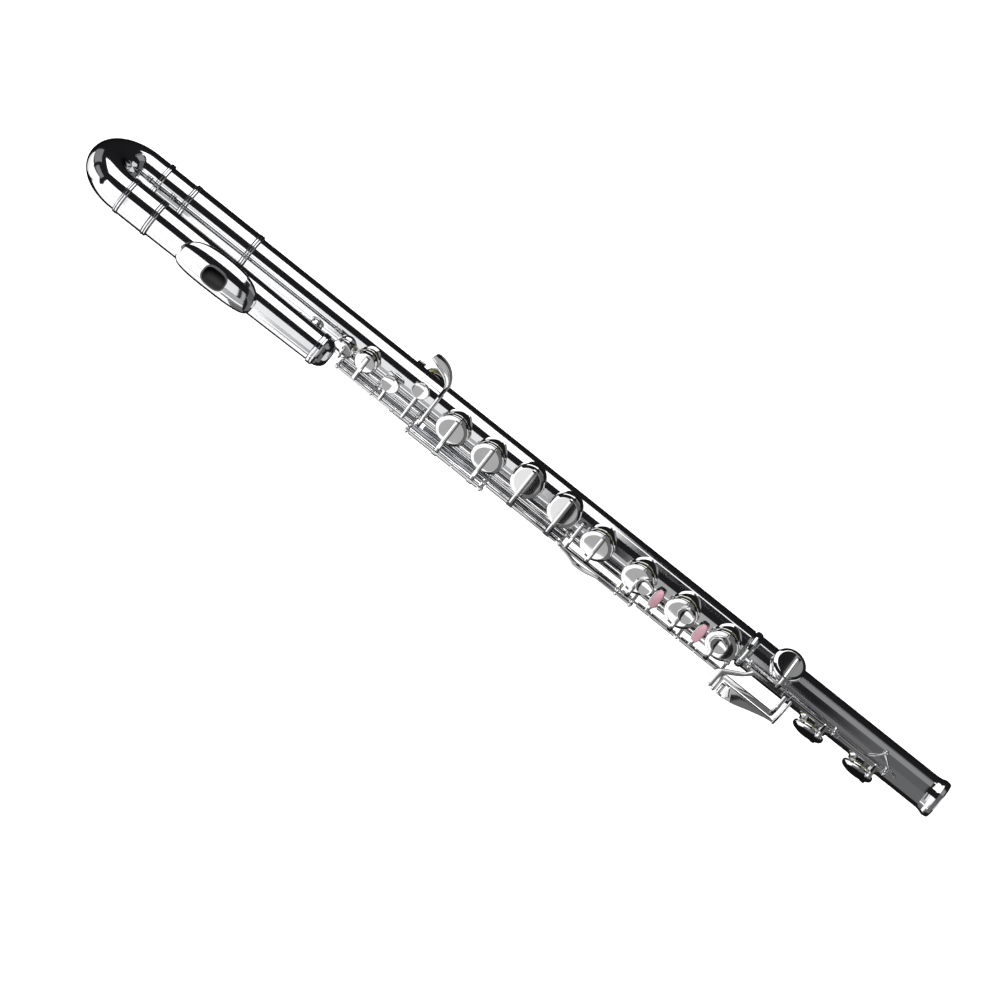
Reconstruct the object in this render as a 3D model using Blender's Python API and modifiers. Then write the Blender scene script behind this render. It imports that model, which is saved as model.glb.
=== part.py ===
"""Alto flute with a curved head joint, built from its separate pieces.

Frame: +X runs from the curved bend to the open foot end, +Z is the way the key cups face,
-Y is the side of the hinge rods. The origin is the centre of the foot's open end face.
Lengths below are in millimetres and are turned into metres where the meshes are made.
"""
import math

import bmesh
import bpy
from mathutils import Matrix, Vector

MM = 0.001

# ---- driving dimensions (mm) ----
TUBE_R = 12.5            # outside radius of the body tube
BORE_R = 12.0            # bore radius of the body tube
FOOT_R = 12.8            # outside radius of the foot joint
SOCKET_R = 12.3          # bore radius of the foot socket
TENON_R = 11.9           # outside radius of the body's foot tenon
SLEEVE_R = 13.5          # outside radius of barrel and receiver
SLEEVE_BORE_R = 12.95
RING_R = 14.2            # radius of the decorative rings
BEND_R = 13.0            # outside radius of the bend's tube
BEND_BORE_R = 12.3
HEAD_Z = 45.0            # height of the head tube's axis above the body's axis
CROWN_R = 10.85          # head tube radius at the crown end
HEAD_TURN = 6.0          # degrees the head is turned towards +Y

BEND_X = -676.4          # where the bend's straight legs start
BARREL_X = (-643.1, -586.5)
BODY_X = (-604.0, -166.0)
TENON_END_X = -150.0
FOOT_SOCKET_X = (-164.9, -147.0)
SLIDE_X = (-665.8, -610.5)
RECEIVER_X = (-674.3, -647.2)
HEAD_X = (-671.5, -513.2)
LIP_X = -592.4
CROWN_X = (-512.7, -500.7)

RIM_H = 14.4             # height of a tone hole's rim above the tube's axis
CLOSED_GAP = 0.25        # pad to rim when a key is closed
OPEN_LIFT = 2.0          # how far an open pad stands further off its rim
WALL = 0.55
CUP_R = 12.0
HOLE_R = 10.25           # outside radius of a large tone hole's chimney

HINGE_R = 1.85           # outside radius of hinge tubes
HINGE_BORE_R = 1.1
TRILL_TUBE_R = 1.6       # the trill rod's tubes pass through the posts
TRILL_BORE_R = 2.05
STEEL_R = 0.8
ARM_WIDTH = 3.2
POST_WIDTH = 2.4
GAP = 0.4

TUBE_SIDES = 20
SLEEVE_SIDES = 16
CUP_SIDES = 14
ROD_SIDES = 8
POST_ANGLE = -50.0
BORE_TURN = 3.1          # degrees between the facets of a tube's outside and its bore


def polar(radius, degrees):
    """(y, z) of a point at a radius from the tube's axis, at an angle from +Z towards +Y."""
    angle = math.radians(degrees)
    return (radius * math.sin(angle), radius * math.cos(angle))


TRILL_ROD = polar(16.0, POST_ANGLE)
MAIN_ROD = polar(23.2, POST_ANGLE)
OUTER_ROD = polar(27.8, POST_ANGLE)
SHARP_ROD = polar(16.75, -80.0)
SIDE_ROD = (-22.4, 12.2)
THUMB_ROD = polar(19.5, -135.0)
FOOT_ROD = (0.0, 17.0)
TOUCH_Z = 8.6             # height of the little finger's rollers and leaf

# Tone holes: X of the centre, angle from +Z, outside radius of the chimney
HOLES = {
    "d_sharp_trill": (-524.0, -24.0, 4.0),
    "d_trill": (-498.8, -15.0, 6.2),
    "c": (-481.5, 0.0, 7.0),
    "thumb_b": (-437.6, 180.0, 9.2),
    "b_flat": (-408.3, 0.0, HOLE_R),
    "a": (-378.4, 0.0, HOLE_R),
    "g_upper": (-347.8, 18.0, HOLE_R),
    "g_lower": (-316.5, 18.0, HOLE_R),
    "g_sharp": (-316.5, -135.0, 8.2),
    "f_sharp": (-285.3, 0.0, HOLE_R),
    "f": (-250.0, 0.0, HOLE_R),
    "e": (-213.5, 0.0, HOLE_R),
    "d": (-178.9, 0.0, HOLE_R),
}
FOOT_HOLES = {
    "e_flat": (-135.7, 61.3, HOLE_R),
    "c_sharp": (-97.8, -54.2, HOLE_R),
    "low_c": (-55.9, -54.2, HOLE_R),
}

# Posts along the body: X of each, and which of them carry further rods
POSTS = (-536.9, -495.2, -466.2, -432.3, -369.7, -305.6, -255.4, -243.4, -205.4, -168.4)
OUTER_POSTS = (-432.3, -369.7)
SIDE_POSTS = (-255.4, -243.4)
SHARP_POSTS = (-432.3, -305.6)
THUMB_POSTS = (-458.0, -418.6)
FOOT_POSTS = (-156.2, -84.4, -41.8)

# ---- materials: colour, roughness, metallic ----
FINISHES = {
    "silver": ((0.86, 0.87, 0.89, 1.0), 0.12, 1.0),
    "steel": ((0.62, 0.64, 0.67, 1.0), 0.22, 1.0),
    "pad": ((0.80, 0.74, 0.42, 1.0), 0.70, 0.0),
    "cork": ((0.62, 0.44, 0.26, 1.0), 0.85, 0.0),
    "rose": ((0.80, 0.45, 0.46, 1.0), 0.25, 0.6),
}


# ---- scene set-up ----
for old in list(bpy.data.objects):
    bpy.data.objects.remove(old, do_unlink=True)


def new_collection(name):
    collection = bpy.data.collections.get(name) or bpy.data.collections.new(name)
    if name not in bpy.context.scene.collection.children:
        bpy.context.scene.collection.children.link(collection)
    return collection


PARTS = new_collection("alto_flute")
TOOLS = new_collection("alto_flute_cutters")
HELPERS = {}


def material(name, finish):
    """A Principled material of the piece's own, in one of the named finishes."""
    colour, roughness, metallic = FINISHES[finish]
    made = bpy.data.materials.new(name + "_" + finish)
    made.use_nodes = True
    shader = made.node_tree.nodes["Principled BSDF"]
    shader.inputs["Base Color"].default_value = colour
    shader.inputs["Roughness"].default_value = roughness
    shader.inputs["Metallic"].default_value = metallic
    return made


# ---- shape helpers: all take millimetres and give a loose object ----
def add_object(name, mesh):
    made = bpy.data.objects.new(name, mesh)
    PARTS.objects.link(made)
    HELPERS[made.name] = []
    return made


def aim(made, origin, direction):
    """Put an object's +Z along a direction, at a point."""
    turn = Vector(direction).to_track_quat("Z", "Y").to_matrix().to_4x4()
    made.matrix_world = Matrix.Translation(Vector(origin) * MM) @ turn
    return made


def turned(origin, direction, profile, sides, closed=False):
    """A turned piece from (radius, height) points that run down its outer side."""
    mesh = bpy.data.meshes.new("turned")
    points = [(radius * MM, 0.0, height * MM) for radius, height in profile]
    edges = [(i, i + 1) for i in range(len(points) - 1)]
    if closed:
        edges.append((len(points) - 1, 0))
    mesh.from_pydata(points, edges, [])
    made = add_object("turned", mesh)
    screw = made.modifiers.new("turn", "SCREW")
    screw.axis = "Z"
    screw.steps = sides
    screw.render_steps = sides
    screw.use_merge_vertices = True
    screw.merge_threshold = 0.00001
    return aim(made, origin, direction)


def tube(profile, sides=TUBE_SIDES, y=0.0, z=0.0):
    """A turned hollow along X from (x, outside radius, inside radius) stations, low X first."""
    outside = [(outer, x) for x, outer, inner in reversed(profile)]
    inside = [(inner, x) for x, outer, inner in profile]
    return turned((0, y, z), (1, 0, 0), outside + inside, sides, closed=True)


def shaft(profile, rod):
    """A turned solid along X from (x, radius) stations, low X first, on a rod's axis."""
    low = profile[0][0]
    high = profile[-1][0]
    points = [(0.0, high)] + [(radius, x) for x, radius in reversed(profile)] + [(0.0, low)]
    return turned((0, rod[0], rod[1]), (1, 0, 0), points, ROD_SIDES)


def cylinder(start, end, radius, sides=ROD_SIDES):
    mesh = bpy.data.meshes.new("cylinder")
    shape = bmesh.new()
    span = Vector(end) - Vector(start)
    bmesh.ops.create_cone(shape, cap_ends=True, segments=sides, radius1=radius * MM,
                          radius2=radius * MM, depth=span.length * MM)
    shape.to_mesh(mesh)
    shape.free()
    middle = (Vector(start) + Vector(end)) / 2
    return aim(add_object("cylinder", mesh), middle, span)


def ellipse_rod(centre, direction, half_x, half_across, length, sides=20):
    """An oval cylinder whose long way is along X."""
    made = cylinder(Vector(centre), Vector(centre) + Vector(direction) * length, 1.0, sides)
    axis = Vector(direction).normalized()
    across = axis.cross(Vector((1, 0, 0)))
    shape = Matrix((Vector((half_x, 0, 0)), across * half_across, axis)).transposed().to_4x4()
    for vertex in made.data.vertices:
        vertex.co = shape @ vertex.co
    made.matrix_world = Matrix.Translation((Vector(centre) + axis * length / 2) * MM)
    return made


def outline_plate(outline, thickness, origin=(0, 0, 0), u=(0, 1, 0), v=(0, 0, 1)):
    """A flat plate from a 2D outline, lying in the plane of u and v."""
    curve = bpy.data.curves.new("outline", "CURVE")
    curve.dimensions = "2D"
    curve.fill_mode = "BOTH"
    curve.extrude = thickness * MM / 2
    spline = curve.splines.new("POLY")
    spline.points.add(len(outline) - 1)
    spline.use_cyclic_u = True
    for point, (a, b) in zip(spline.points, outline):
        point.co = (a * MM, b * MM, 0, 1)
    drawn = bpy.data.objects.new("outline", curve)
    PARTS.objects.link(drawn)
    graph = bpy.context.evaluated_depsgraph_get()
    mesh = bpy.data.meshes.new_from_object(drawn.evaluated_get(graph))
    shape = bmesh.new()
    shape.from_mesh(mesh)
    bmesh.ops.remove_doubles(shape, verts=shape.verts, dist=0.00001)
    bmesh.ops.recalc_face_normals(shape, faces=shape.faces)
    shape.to_mesh(mesh)
    shape.free()
    bpy.data.objects.remove(drawn)
    made = add_object("plate", mesh)
    axis_u = Vector(u)
    axis_v = Vector(v)
    turn = Matrix((axis_u, axis_v, axis_u.cross(axis_v))).transposed().to_4x4()
    made.matrix_world = Matrix.Translation(Vector(origin) * MM) @ turn
    return made


def bar(points, width):
    """An outline of a centre line through 2D points, with a width at each of them."""
    left = []
    right = []
    for i, (a, b) in enumerate(points):
        before = Vector(points[max(i - 1, 0)])
        after = Vector(points[min(i + 1, len(points) - 1)])
        side = (after - before).normalized().orthogonal() * width / 2
        left.append((a + side.x, b + side.y))
        right.append((a - side.x, b - side.y))
    return left + right[::-1]


def hide(helper):
    if helper.name in PARTS.objects:
        PARTS.objects.unlink(helper)
        TOOLS.objects.link(helper)
    helper.hide_render = True
    helper.display_type = "WIRE"


def combine(base, operation, others):
    for other in others:
        step = base.modifiers.new(operation.lower(), "BOOLEAN")
        step.operation = operation
        step.solver = "EXACT"
        step.object = other
        hide(other)
        HELPERS[base.name].append(other)
    return base


def union(base, *others):
    return combine(base, "UNION", others)


def cut(base, *others):
    return combine(base, "DIFFERENCE", others)


# ---- moving groups ----
def pivot(name, rod, open_degrees=0.0, x=0.0):
    """An empty on a joint's axis; its rest turn opens an open-standing key."""
    made = bpy.data.objects.new(name + "_axis", None)
    made.empty_display_size = 0.01
    PARTS.objects.link(made)
    made.location = Vector((x, rod[0], rod[1])) * MM
    made.rotation_euler = (math.radians(open_degrees), 0, 0)
    return made


def attach(made, empty, home):
    for helper in HELPERS[made.name]:
        attach(helper, empty, home)
    made.parent = empty
    made.matrix_parent_inverse = Matrix.Translation(-home)


def node(name, made, finish, empty=None):
    """Name a finished piece, give it its own material and put it on its joint's empty."""
    helpers = HELPERS.pop(made.name)
    made.name = name
    HELPERS[made.name] = helpers
    made.data.materials.clear()
    made.data.materials.append(material(name, finish))
    if empty is not None:
        attach(made, empty, empty.location.copy())
    return made


# ---- tubes ----
def chimneys(holes, radius_change, start, end):
    made = []
    for x, angle, radius in holes.values():
        y, z = polar(1.0, angle)
        made.append(cylinder((x, y * start, z * start), (x, y * end, z * end),
                             radius + radius_change, 14 if radius > 8 else 10))
    return made


def drilled_tube(outside, bore, holes):
    """A tube with chimneys round its tone holes, bored through last."""
    body = shaft([(x, radius) for x, radius in outside], (0, 0))
    body.modifiers["turn"].steps = TUBE_SIDES
    body.modifiers["turn"].render_steps = TUBE_SIDES
    union(body, *chimneys(holes, 0.0, 4.0, RIM_H))
    bored = shaft(bore, (0, 0))
    bored.modifiers["turn"].steps = TUBE_SIDES
    bored.modifiers["turn"].render_steps = TUBE_SIDES
    bored.matrix_world = Matrix.Rotation(math.radians(BORE_TURN), 4, "X") @ bored.matrix_world
    cut(body, bored)
    return cut(body, *chimneys(holes, -WALL, 3.0, RIM_H + 2))


def make_body():
    low, high = BODY_X
    outside = [(low, TUBE_R), (high, TUBE_R), (high + 0.1, TENON_R), (TENON_END_X, TENON_R)]
    bore = [(low - 1, BORE_R), (high - 8, BORE_R), (high - 7, TENON_R - 0.5),
            (TENON_END_X + 1, TENON_R - 0.5)]
    node("body_tube", drilled_tube(outside, bore, HOLES), "silver")
    node("barrel", ringed_sleeve(BARREL_X), "silver")


def necked_shaft(x0, x1, radius, posts, rod):
    """A shaft of its own, necked down where it runs in posts, and past its end into the last."""
    reach = POST_WIDTH / 2 + GAP
    profile = [(x0, radius)]
    for x in posts:
        if x0 < x - reach:
            profile += [(x - reach, radius), (x - reach + 0.1, STEEL_R)]
        if x + reach < x1:
            profile += [(x + reach - 0.1, STEEL_R), (x + reach, radius)]
    profile.append((posts[-1] + POST_WIDTH / 2 - GAP, STEEL_R))
    return shaft(profile, rod)


def ringed_sleeve(span, z=0.0):
    """A sleeve with a decorative ring at each end."""
    low, high = span
    ring = 3.2
    profile = [(low, RING_R, SLEEVE_BORE_R), (low + ring, RING_R, SLEEVE_BORE_R),
               (low + ring + 0.4, SLEEVE_R, SLEEVE_BORE_R),
               (high - ring - 0.4, SLEEVE_R, SLEEVE_BORE_R),
               (high - ring, RING_R, SLEEVE_BORE_R), (high, RING_R, SLEEVE_BORE_R)]
    return tube(profile, SLEEVE_SIDES, z=z)


def bend_tube(radius, reach):
    """The bend as a swept round bar; reach lengthens its two legs."""
    centre_z = HEAD_Z / 2
    path = [(SLIDE_X[0] - 0.4 + reach, 0.0)]
    for i in range(10):
        angle = math.radians(-90 - 20 * i)
        path.append((BEND_X + centre_z * math.cos(angle), centre_z + centre_z * math.sin(angle)))
    path.append((RECEIVER_X[0] - 0.4 + reach, HEAD_Z))
    curve = bpy.data.curves.new("bend", "CURVE")
    curve.dimensions = "3D"
    curve.bevel_depth = radius * MM
    curve.bevel_resolution = 5
    curve.use_fill_caps = True
    spline = curve.splines.new("POLY")
    spline.points.add(len(path) - 1)
    for point, (x, z) in zip(spline.points, path):
        point.co = (x * MM, 0, z * MM, 1)
    drawn = bpy.data.objects.new("bend", curve)
    PARTS.objects.link(drawn)
    graph = bpy.context.evaluated_depsgraph_get()
    mesh = bpy.data.meshes.new_from_object(drawn.evaluated_get(graph))
    shape = bmesh.new()
    shape.from_mesh(mesh)
    bmesh.ops.remove_doubles(shape, verts=shape.verts, dist=0.00001)
    bmesh.ops.recalc_face_normals(shape, faces=shape.faces)
    shape.to_mesh(mesh)
    shape.free()
    bpy.data.objects.remove(drawn)
    return add_object("bend", mesh)


def make_bend():
    slide = pivot("bend_slide", (0, 0), x=SLIDE_X[0])
    node("u_bend", cut(bend_tube(BEND_R, 0.0), bend_tube(BEND_BORE_R, 2.0)), "silver", slide)
    node("bend_receiver", ringed_sleeve(RECEIVER_X, HEAD_Z), "silver", slide)
    low, high = SLIDE_X
    profile = [(low, RING_R, BORE_R), (low + 3.4, RING_R, BORE_R), (low + 3.8, TUBE_R, BORE_R),
               (high, TUBE_R, BORE_R)]
    node("tuning_slide", tube(profile, SLEEVE_SIDES), "silver", slide)


# ---- head joint ----
def head_radius(x):
    """Outside radius of the head tube: a slow curve from the full bore to the crown."""
    start = -640.0
    if x < start:
        return TUBE_R
    share = (x - start) / (HEAD_X[1] - start)
    return TUBE_R - (TUBE_R - CROWN_R) * share ** 1.3


def on_head(x, height, sideways=0.0):
    """A point beside the head's axis, before the head is turned."""
    return (x, sideways, HEAD_Z + height)


def lip_shell(half_length, wrap, thickness):
    """The lip plate: an oval patch that swells over the tube, made solid inwards."""
    mesh = bpy.data.meshes.new("lip")
    shape = bmesh.new()
    bmesh.ops.create_grid(shape, x_segments=12, y_segments=8, size=1.0)
    for vertex in shape.verts:
        a, b = vertex.co.x, vertex.co.y
        u = a * math.sqrt(1 - b * b / 2)
        v = b * math.sqrt(1 - a * a / 2)
        swell = math.sqrt(max(0.0, 1 - (u * u + v * v)))
        x = LIP_X + half_length * u
        radius = head_radius(x) + 1.5 + 4.0 * swell
        y, z = polar(radius, wrap * v)
        vertex.co = Vector((x, y, HEAD_Z + z)) * MM
    shape.to_mesh(mesh)
    shape.free()
    made = add_object("lip", mesh)
    solid = made.modifiers.new("thickness", "SOLIDIFY")
    solid.thickness = thickness * MM
    solid.offset = -1.0
    return made


def make_head():
    head = pivot("head_turn", (0, HEAD_Z), -HEAD_TURN, x=HEAD_X[0])
    stations = [HEAD_X[0], -640.0, -610.0, -580.0, -545.0, HEAD_X[1]]
    profile = [(x, head_radius(x), head_radius(x) - 0.5) for x in stations]
    bore = cut(tube(profile, z=HEAD_Z),
               ellipse_rod(on_head(LIP_X, 5.0), (0, 0, 1), 9.6, 7.9, 12.0))
    node("head_tube", bore, "silver", head)

    riser = ellipse_rod(on_head(LIP_X, 6.0), (0, 0, 1), 9.2, 7.5, 11.3)
    cut(riser, ellipse_rod(on_head(LIP_X, 4.0), (0, 0, 1), 8.2, 6.4, 16.0))
    cut(riser, cylinder(on_head(LIP_X - 30, 0), on_head(LIP_X + 30, 0), 11.0, TUBE_SIDES))
    node("embouchure_riser", riser, "silver", head)

    plate = cut(lip_shell(30.0, 72.0, 0.9),
                ellipse_rod(on_head(LIP_X, 6.0), (0, 0, 1), 9.6, 7.9, 16.0))
    node("lip_plate", plate, "silver", head)

    low, high = CROWN_X
    crown = turned((0, 0, HEAD_Z), (1, 0, 0),
                   [(0.0, high), (6.0, high), (9.5, high - 3.5), (10.8, high - 7.6),
                    (11.9, high - 8.0), (11.9, low), (10.2, low), (9.9, low - 4.0),
                    (2.0, low - 4.0), (2.0, low + 4.0), (0.0, low + 4.0)], TUBE_SIDES)
    node("crown", crown, "silver", pivot("crown_turn", (0, HEAD_Z), x=low))
    stopper = pivot("stopper_slide", (0, HEAD_Z), x=LIP_X + 25)
    face = LIP_X + 25.0
    screw = turned((0, 0, HEAD_Z), (1, 0, 0),
                   [(0.0, low - 2.0), (1.6, low - 2.0), (1.6, face + 1.0), (10.4, face + 1.0),
                    (10.4, face), (0.0, face)], CUP_SIDES)
    node("stopper_screw", screw, "steel", stopper)
    cork = tube([(face + 1.4, 10.8, 2.0), (face + 16.0, 10.5, 2.0)], CUP_SIDES, z=HEAD_Z)
    node("stopper_cork", cork, "cork", stopper)


# ---- key pieces ----
def cup(x, angle, radius):
    """A key cup over a tone hole in its closed place, hollow below for its pad."""
    y, z = polar(RIM_H + CLOSED_GAP, angle)
    profile = [(0.0, 4.0), (radius - 1.4, 3.4), (radius, 2.5), (radius, 0.5),
               (radius - 0.6, 0.5), (radius - 0.6, 2.2), (0.0, 2.2)]
    return turned((x, y, z), (0, y, z), profile, CUP_SIDES)


def pad(x, angle, radius):
    y, z = polar(RIM_H + CLOSED_GAP, angle)
    profile = [(0.0, 1.9), (radius - 0.9, 1.9), (radius - 0.9, 0.0), (0.0, 0.0)]
    return turned((x, y, z), (0, y, z), profile, CUP_SIDES)


def turn_points(points, angle):
    """Turn (y, z) points about the tube's axis, from +Z towards +Y."""
    turned_points = []
    for y, z in points:
        radius = math.hypot(y, z)
        turned_points.append(polar(radius, math.degrees(math.atan2(y, z)) + angle))
    return turned_points


def arm(x, rod, angle=0.0, cup_radius=CUP_R, tip=10.0, width=ARM_WIDTH, low=17.4):
    """A pointed arm from a rod over the cup's top, in the plane across the tube."""
    over = turn_points([(-cup_radius + 0.5, 19.4), (tip - 2.5, 19.4), (tip, 18.5),
                        (tip - 2.5, 17.6), (-cup_radius + 0.5, low)], angle)
    near = [(rod[0], rod[1] - 1.2), (rod[0], rod[1] + 1.6)]
    return outline_plate([near[1]] + over + [near[0]], width, origin=(x, 0, 0))


def hinge_tube(x0, x1, rod):
    radius = TRILL_TUBE_R if rod == TRILL_ROD else HINGE_R
    return cylinder((x0, rod[0], rod[1]), (x1, rod[0], rod[1]), radius, ROD_SIDES)


def bore(x0, x1, rod):
    return cylinder((x0 - 3, rod[0], rod[1]), (x1 + 3, rod[0], rod[1]), HINGE_BORE_R, ROD_SIDES)


def key_node(name, finish, rod, span, pieces, empty):
    """A key: its hinge tube with everything soldered to it, bored for its steel."""
    body = union(hinge_tube(span[0], span[1], rod), *pieces)
    cut(body, bore(span[0], span[1], rod))
    return node(name, body, finish, empty)


def disc(x, y, z, radius, thickness, tilt=0.0):
    """A round finger plate whose top is at z."""
    dy, dz = polar(1.0, tilt)
    return cylinder((x, y - dy * thickness, z - dz * thickness), (x, y, z), radius, 12)


def make_left_hand():
    c_open = math.degrees(OPEN_LIFT / 17.8)
    empty = pivot("key_c", MAIN_ROD, c_open)
    x, angle, _ = HOLES["c"]
    key_node("key_c", "silver", MAIN_ROD, (-493.6, -467.8),
             [cup(x, angle, 8.6), arm(x, MAIN_ROD, angle, 8.6, 5.5)], empty)
    node("pad_c", pad(x, angle, 8.6), "pad", empty)

    # second finger's lever, with a bar that runs under the rod to the outer keys
    empty = pivot("lever_a", MAIN_ROD, c_open)
    plate_x = -459.5
    reach = outline_plate([(-18.0, 13.6), (-18.0, 16.6), (-7.0, 19.5), (-1.0, 19.5),
                           (-1.0, 18.0), (-7.0, 18.0), (-14.0, 15.2)], 2.6,
                          origin=(plate_x, 0, 0))
    link = outline_plate([(MAIN_ROD[0], 15.6), (MAIN_ROD[0], 13.8), (-20.6, 11.4),
                          (-22.2, 11.4), (-22.2, 12.8), (-20.2, 14.6)], 2.4,
                         origin=(-449.0, 0, 0))
    runner = cylinder((-450.0, -21.4, 12.1), (-391.0, -21.4, 12.1), 0.9, 6)
    key_node("lever_a", "silver", MAIN_ROD, (-464.6, -447.6),
             [disc(plate_x, 0.0, 19.9, 6.5, 1.8), reach, link, runner], empty)

    outer_open = math.degrees(OPEN_LIFT / 21.3)
    for name, span, tab_x in (("b_flat", (-430.7, -394.2), -428.9), ("a", (-393.7, -371.9), -392.4)):
        empty = pivot("key_" + name, OUTER_ROD, outer_open)
        x, angle, radius = HOLES[name]
        tab = outline_plate([(-22.0, 18.4), (-20.4, 18.4), (-22.0, 14.9), (-23.2, 14.9)], 1.8,
                            origin=(tab_x, 0, 0))
        key_node("key_" + name, "silver", OUTER_ROD, span,
                 [cup(x, angle, CUP_R), arm(x, OUTER_ROD, angle), tab], empty)
        node("pad_" + name, pad(x, angle, CUP_R), "pad", empty)

    # G: plate, both cups and the rod they are pinned to turn as one
    g_open = math.degrees(OPEN_LIFT / 23.2)
    empty = pivot("key_g", MAIN_ROD, g_open)
    plate_x = -440.9
    reach = outline_plate([(-18.0, 13.6), (-18.0, 16.6), (-9.0, 19.8), (6.0, 18.8), (8.0, 17.4),
                           (6.0, 17.2), (-8.0, 18.2), (-14.0, 15.4)], 2.4,
                          origin=(-440.2, 0, 0))
    key_node("lever_g", "silver", MAIN_ROD, (-446.8, -434.0),
             [disc(plate_x, 10.0, 19.2, 6.3, 2.0), reach], empty)
    pieces = []
    for name in ("g_upper", "g_lower"):
        x, angle, radius = HOLES[name]
        pieces += [cup(x, angle, CUP_R), arm(x, MAIN_ROD, angle, low=17.0)]
        node("pad_" + name, pad(x, angle, CUP_R), "pad", empty)
    key_node("key_g", "silver", MAIN_ROD, (-367.6, -308.3), pieces, empty)
    steel = shaft([(-496.5, STEEL_R), (-430.7, STEEL_R), (-430.6, HINGE_R), (-371.8, HINGE_R),
                   (-371.7, STEEL_R), (-306.6, STEEL_R)], MAIN_ROD)
    node("steel_left_hand", steel, "steel", empty)
    node("steel_outer", shaft([(-433.4, STEEL_R), (-367.9, STEEL_R)], OUTER_ROD), "steel")


def make_g_sharp():
    empty = pivot("key_g_sharp", SHARP_ROD)
    x, angle, radius = HOLES["g_sharp"]
    path = [(-16.6, 3.2), (-19.0, 6.4), (-18.2, 10.0), (-15.6, 13.1), (-12.6, 16.3),
            (-4.0, 17.6), (4.0, 17.4), (11.0, 15.4), (16.0, 11.4), (18.2, 8.2)]
    over = outline_plate(bar(path, 1.5), 2.0, origin=(-428.6, 0, 0))
    spoon_path = [(-427.7, 16.6), (-428.2, 20.0), (-431.5, 26.0), (-437.5, 31.0), (-443.6, 33.4),
                  (-448.0, 32.8), (-448.2, 29.4), (-444.2, 25.4), (-438.0, 22.0), (-432.6, 19.4),
                  (-429.6, 16.0)]
    spoon = outline_plate(spoon_path, 1.6, origin=(0, 0, 8.6), u=(1, 0, 0), v=(0, 1, 0))
    hang = outline_plate([(-15.6, 3.4), (-18.2, 3.4), (-20.6, -6.0), (-17.0, -16.0), (-9.0, -17.0),
                          (-10.0, -14.6), (-15.6, -13.4), (-18.4, -6.0)], 2.6, origin=(x, 0, 0))
    solid = shaft([(-433.1, STEEL_R), (-430.8, STEEL_R), (-430.7, 1.5), (-307.3, 1.5),
                   (-307.2, STEEL_R), (-304.8, STEEL_R)], SHARP_ROD)
    body = union(solid, over, spoon, cup(x, angle, 9.8), hang)
    node("key_g_sharp", body, "silver", empty)
    node("pad_g_sharp", pad(x, angle, 9.8), "pad", empty)


def make_thumb():
    lift = -math.degrees(OPEN_LIFT / 13.8)
    empty = pivot("key_thumb_b", THUMB_ROD, lift)
    x, angle, radius = HOLES["thumb_b"]
    reach = outline_plate([(-13.2, -12.6), (-14.4, -15.0), (-9.5, -19.4), (8.0, -19.4),
                           (8.0, -17.8), (-9.0, -17.4)], 5.0, origin=(x, 0, 0))
    key_node("key_thumb_b", "silver", THUMB_ROD, (-446.4, -421.4),
             [cup(x, angle, 10.8), reach], empty)
    node("pad_thumb_b", pad(x, angle, 10.8), "pad", empty)
    empty = pivot("lever_thumb_b_flat", THUMB_ROD, lift)
    paddle = outline_plate([(-13.2, -12.6), (-14.4, -15.0), (-9.5, -21.0), (5.0, -21.4),
                            (5.0, -19.8), (-9.0, -19.2)], 6.0, origin=(-453.0, 0, 0))
    key_node("lever_thumb_b_flat", "silver", THUMB_ROD, (-456.2, -449.6), [paddle], empty)
    node("steel_thumb", shaft([(-460.4, STEEL_R), (-416.2, STEEL_R)], THUMB_ROD), "steel")


def make_trills():
    """Two closed keys near the head, worked by levers between the right-hand cups."""
    x, angle, radius = HOLES["d_trill"]
    empty = pivot("key_d_trill", TRILL_ROD)
    tab = outline_plate([(-12.9, 10.5), (-11.6, 10.5), (-11.9, 13.2), (-12.9, 13.2)], 2.0,
                        origin=(-232.3, 0, 0))
    reach = arm(x, TRILL_ROD, angle, 7.6, 3.5, 2.6)
    key_node("key_d_trill", "silver", TRILL_ROD, (-506.5, -228.4),
             [cup(x, angle, 7.6), reach, tab], empty)
    node("pad_d_trill", pad(x, angle, 7.6), "pad", empty)

    x, angle, radius = HOLES["d_sharp_trill"]
    empty = pivot("key_d_sharp_trill", TRILL_ROD)
    tab = outline_plate([(-12.9, 10.5), (-11.6, 10.5), (-11.9, 13.2), (-12.9, 13.2)], 2.0,
                        origin=(-195.6, 0, 0))
    solid = shaft([(-538.8, STEEL_R), (-534.4, STEEL_R), (-534.3, TRILL_TUBE_R), (-507.1, TRILL_TUBE_R),
                   (-507.0, STEEL_R), (-227.8, STEEL_R), (-227.7, TRILL_TUBE_R), (-192.4, TRILL_TUBE_R),
                   (-192.3, STEEL_R), (-166.4, STEEL_R)], TRILL_ROD)
    union(solid, cup(x, angle, 5.2), arm(x, TRILL_ROD, angle, 5.2, 2.5, 2.6), tab)
    node("key_d_sharp_trill", solid, "silver", empty)
    node("pad_d_sharp_trill", pad(x, angle, 5.2), "pad", empty)

    for name, x, span in (("d", -232.1, (-239.9, -228.7)), ("d_sharp", -195.5, (-202.9, -190.9))):
        empty = pivot("lever_trill_" + name, MAIN_ROD)
        reach = outline_plate([(-17.2, 16.4), (-17.2, 13.6), (-14.2, 14.4), (-12.0, 14.8),
                               (2.4, 18.2), (2.6, 19.4), (-12.0, 17.2)], 3.0, origin=(x, 0, 0))
        touch = ellipse_rod((x, -4.4, 16.4), (0, -0.2, 0.98), 3.1, 8.8, 2.2, 12)
        key_node("lever_trill_" + name, "rose", MAIN_ROD, span, [reach, touch], empty)


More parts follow.
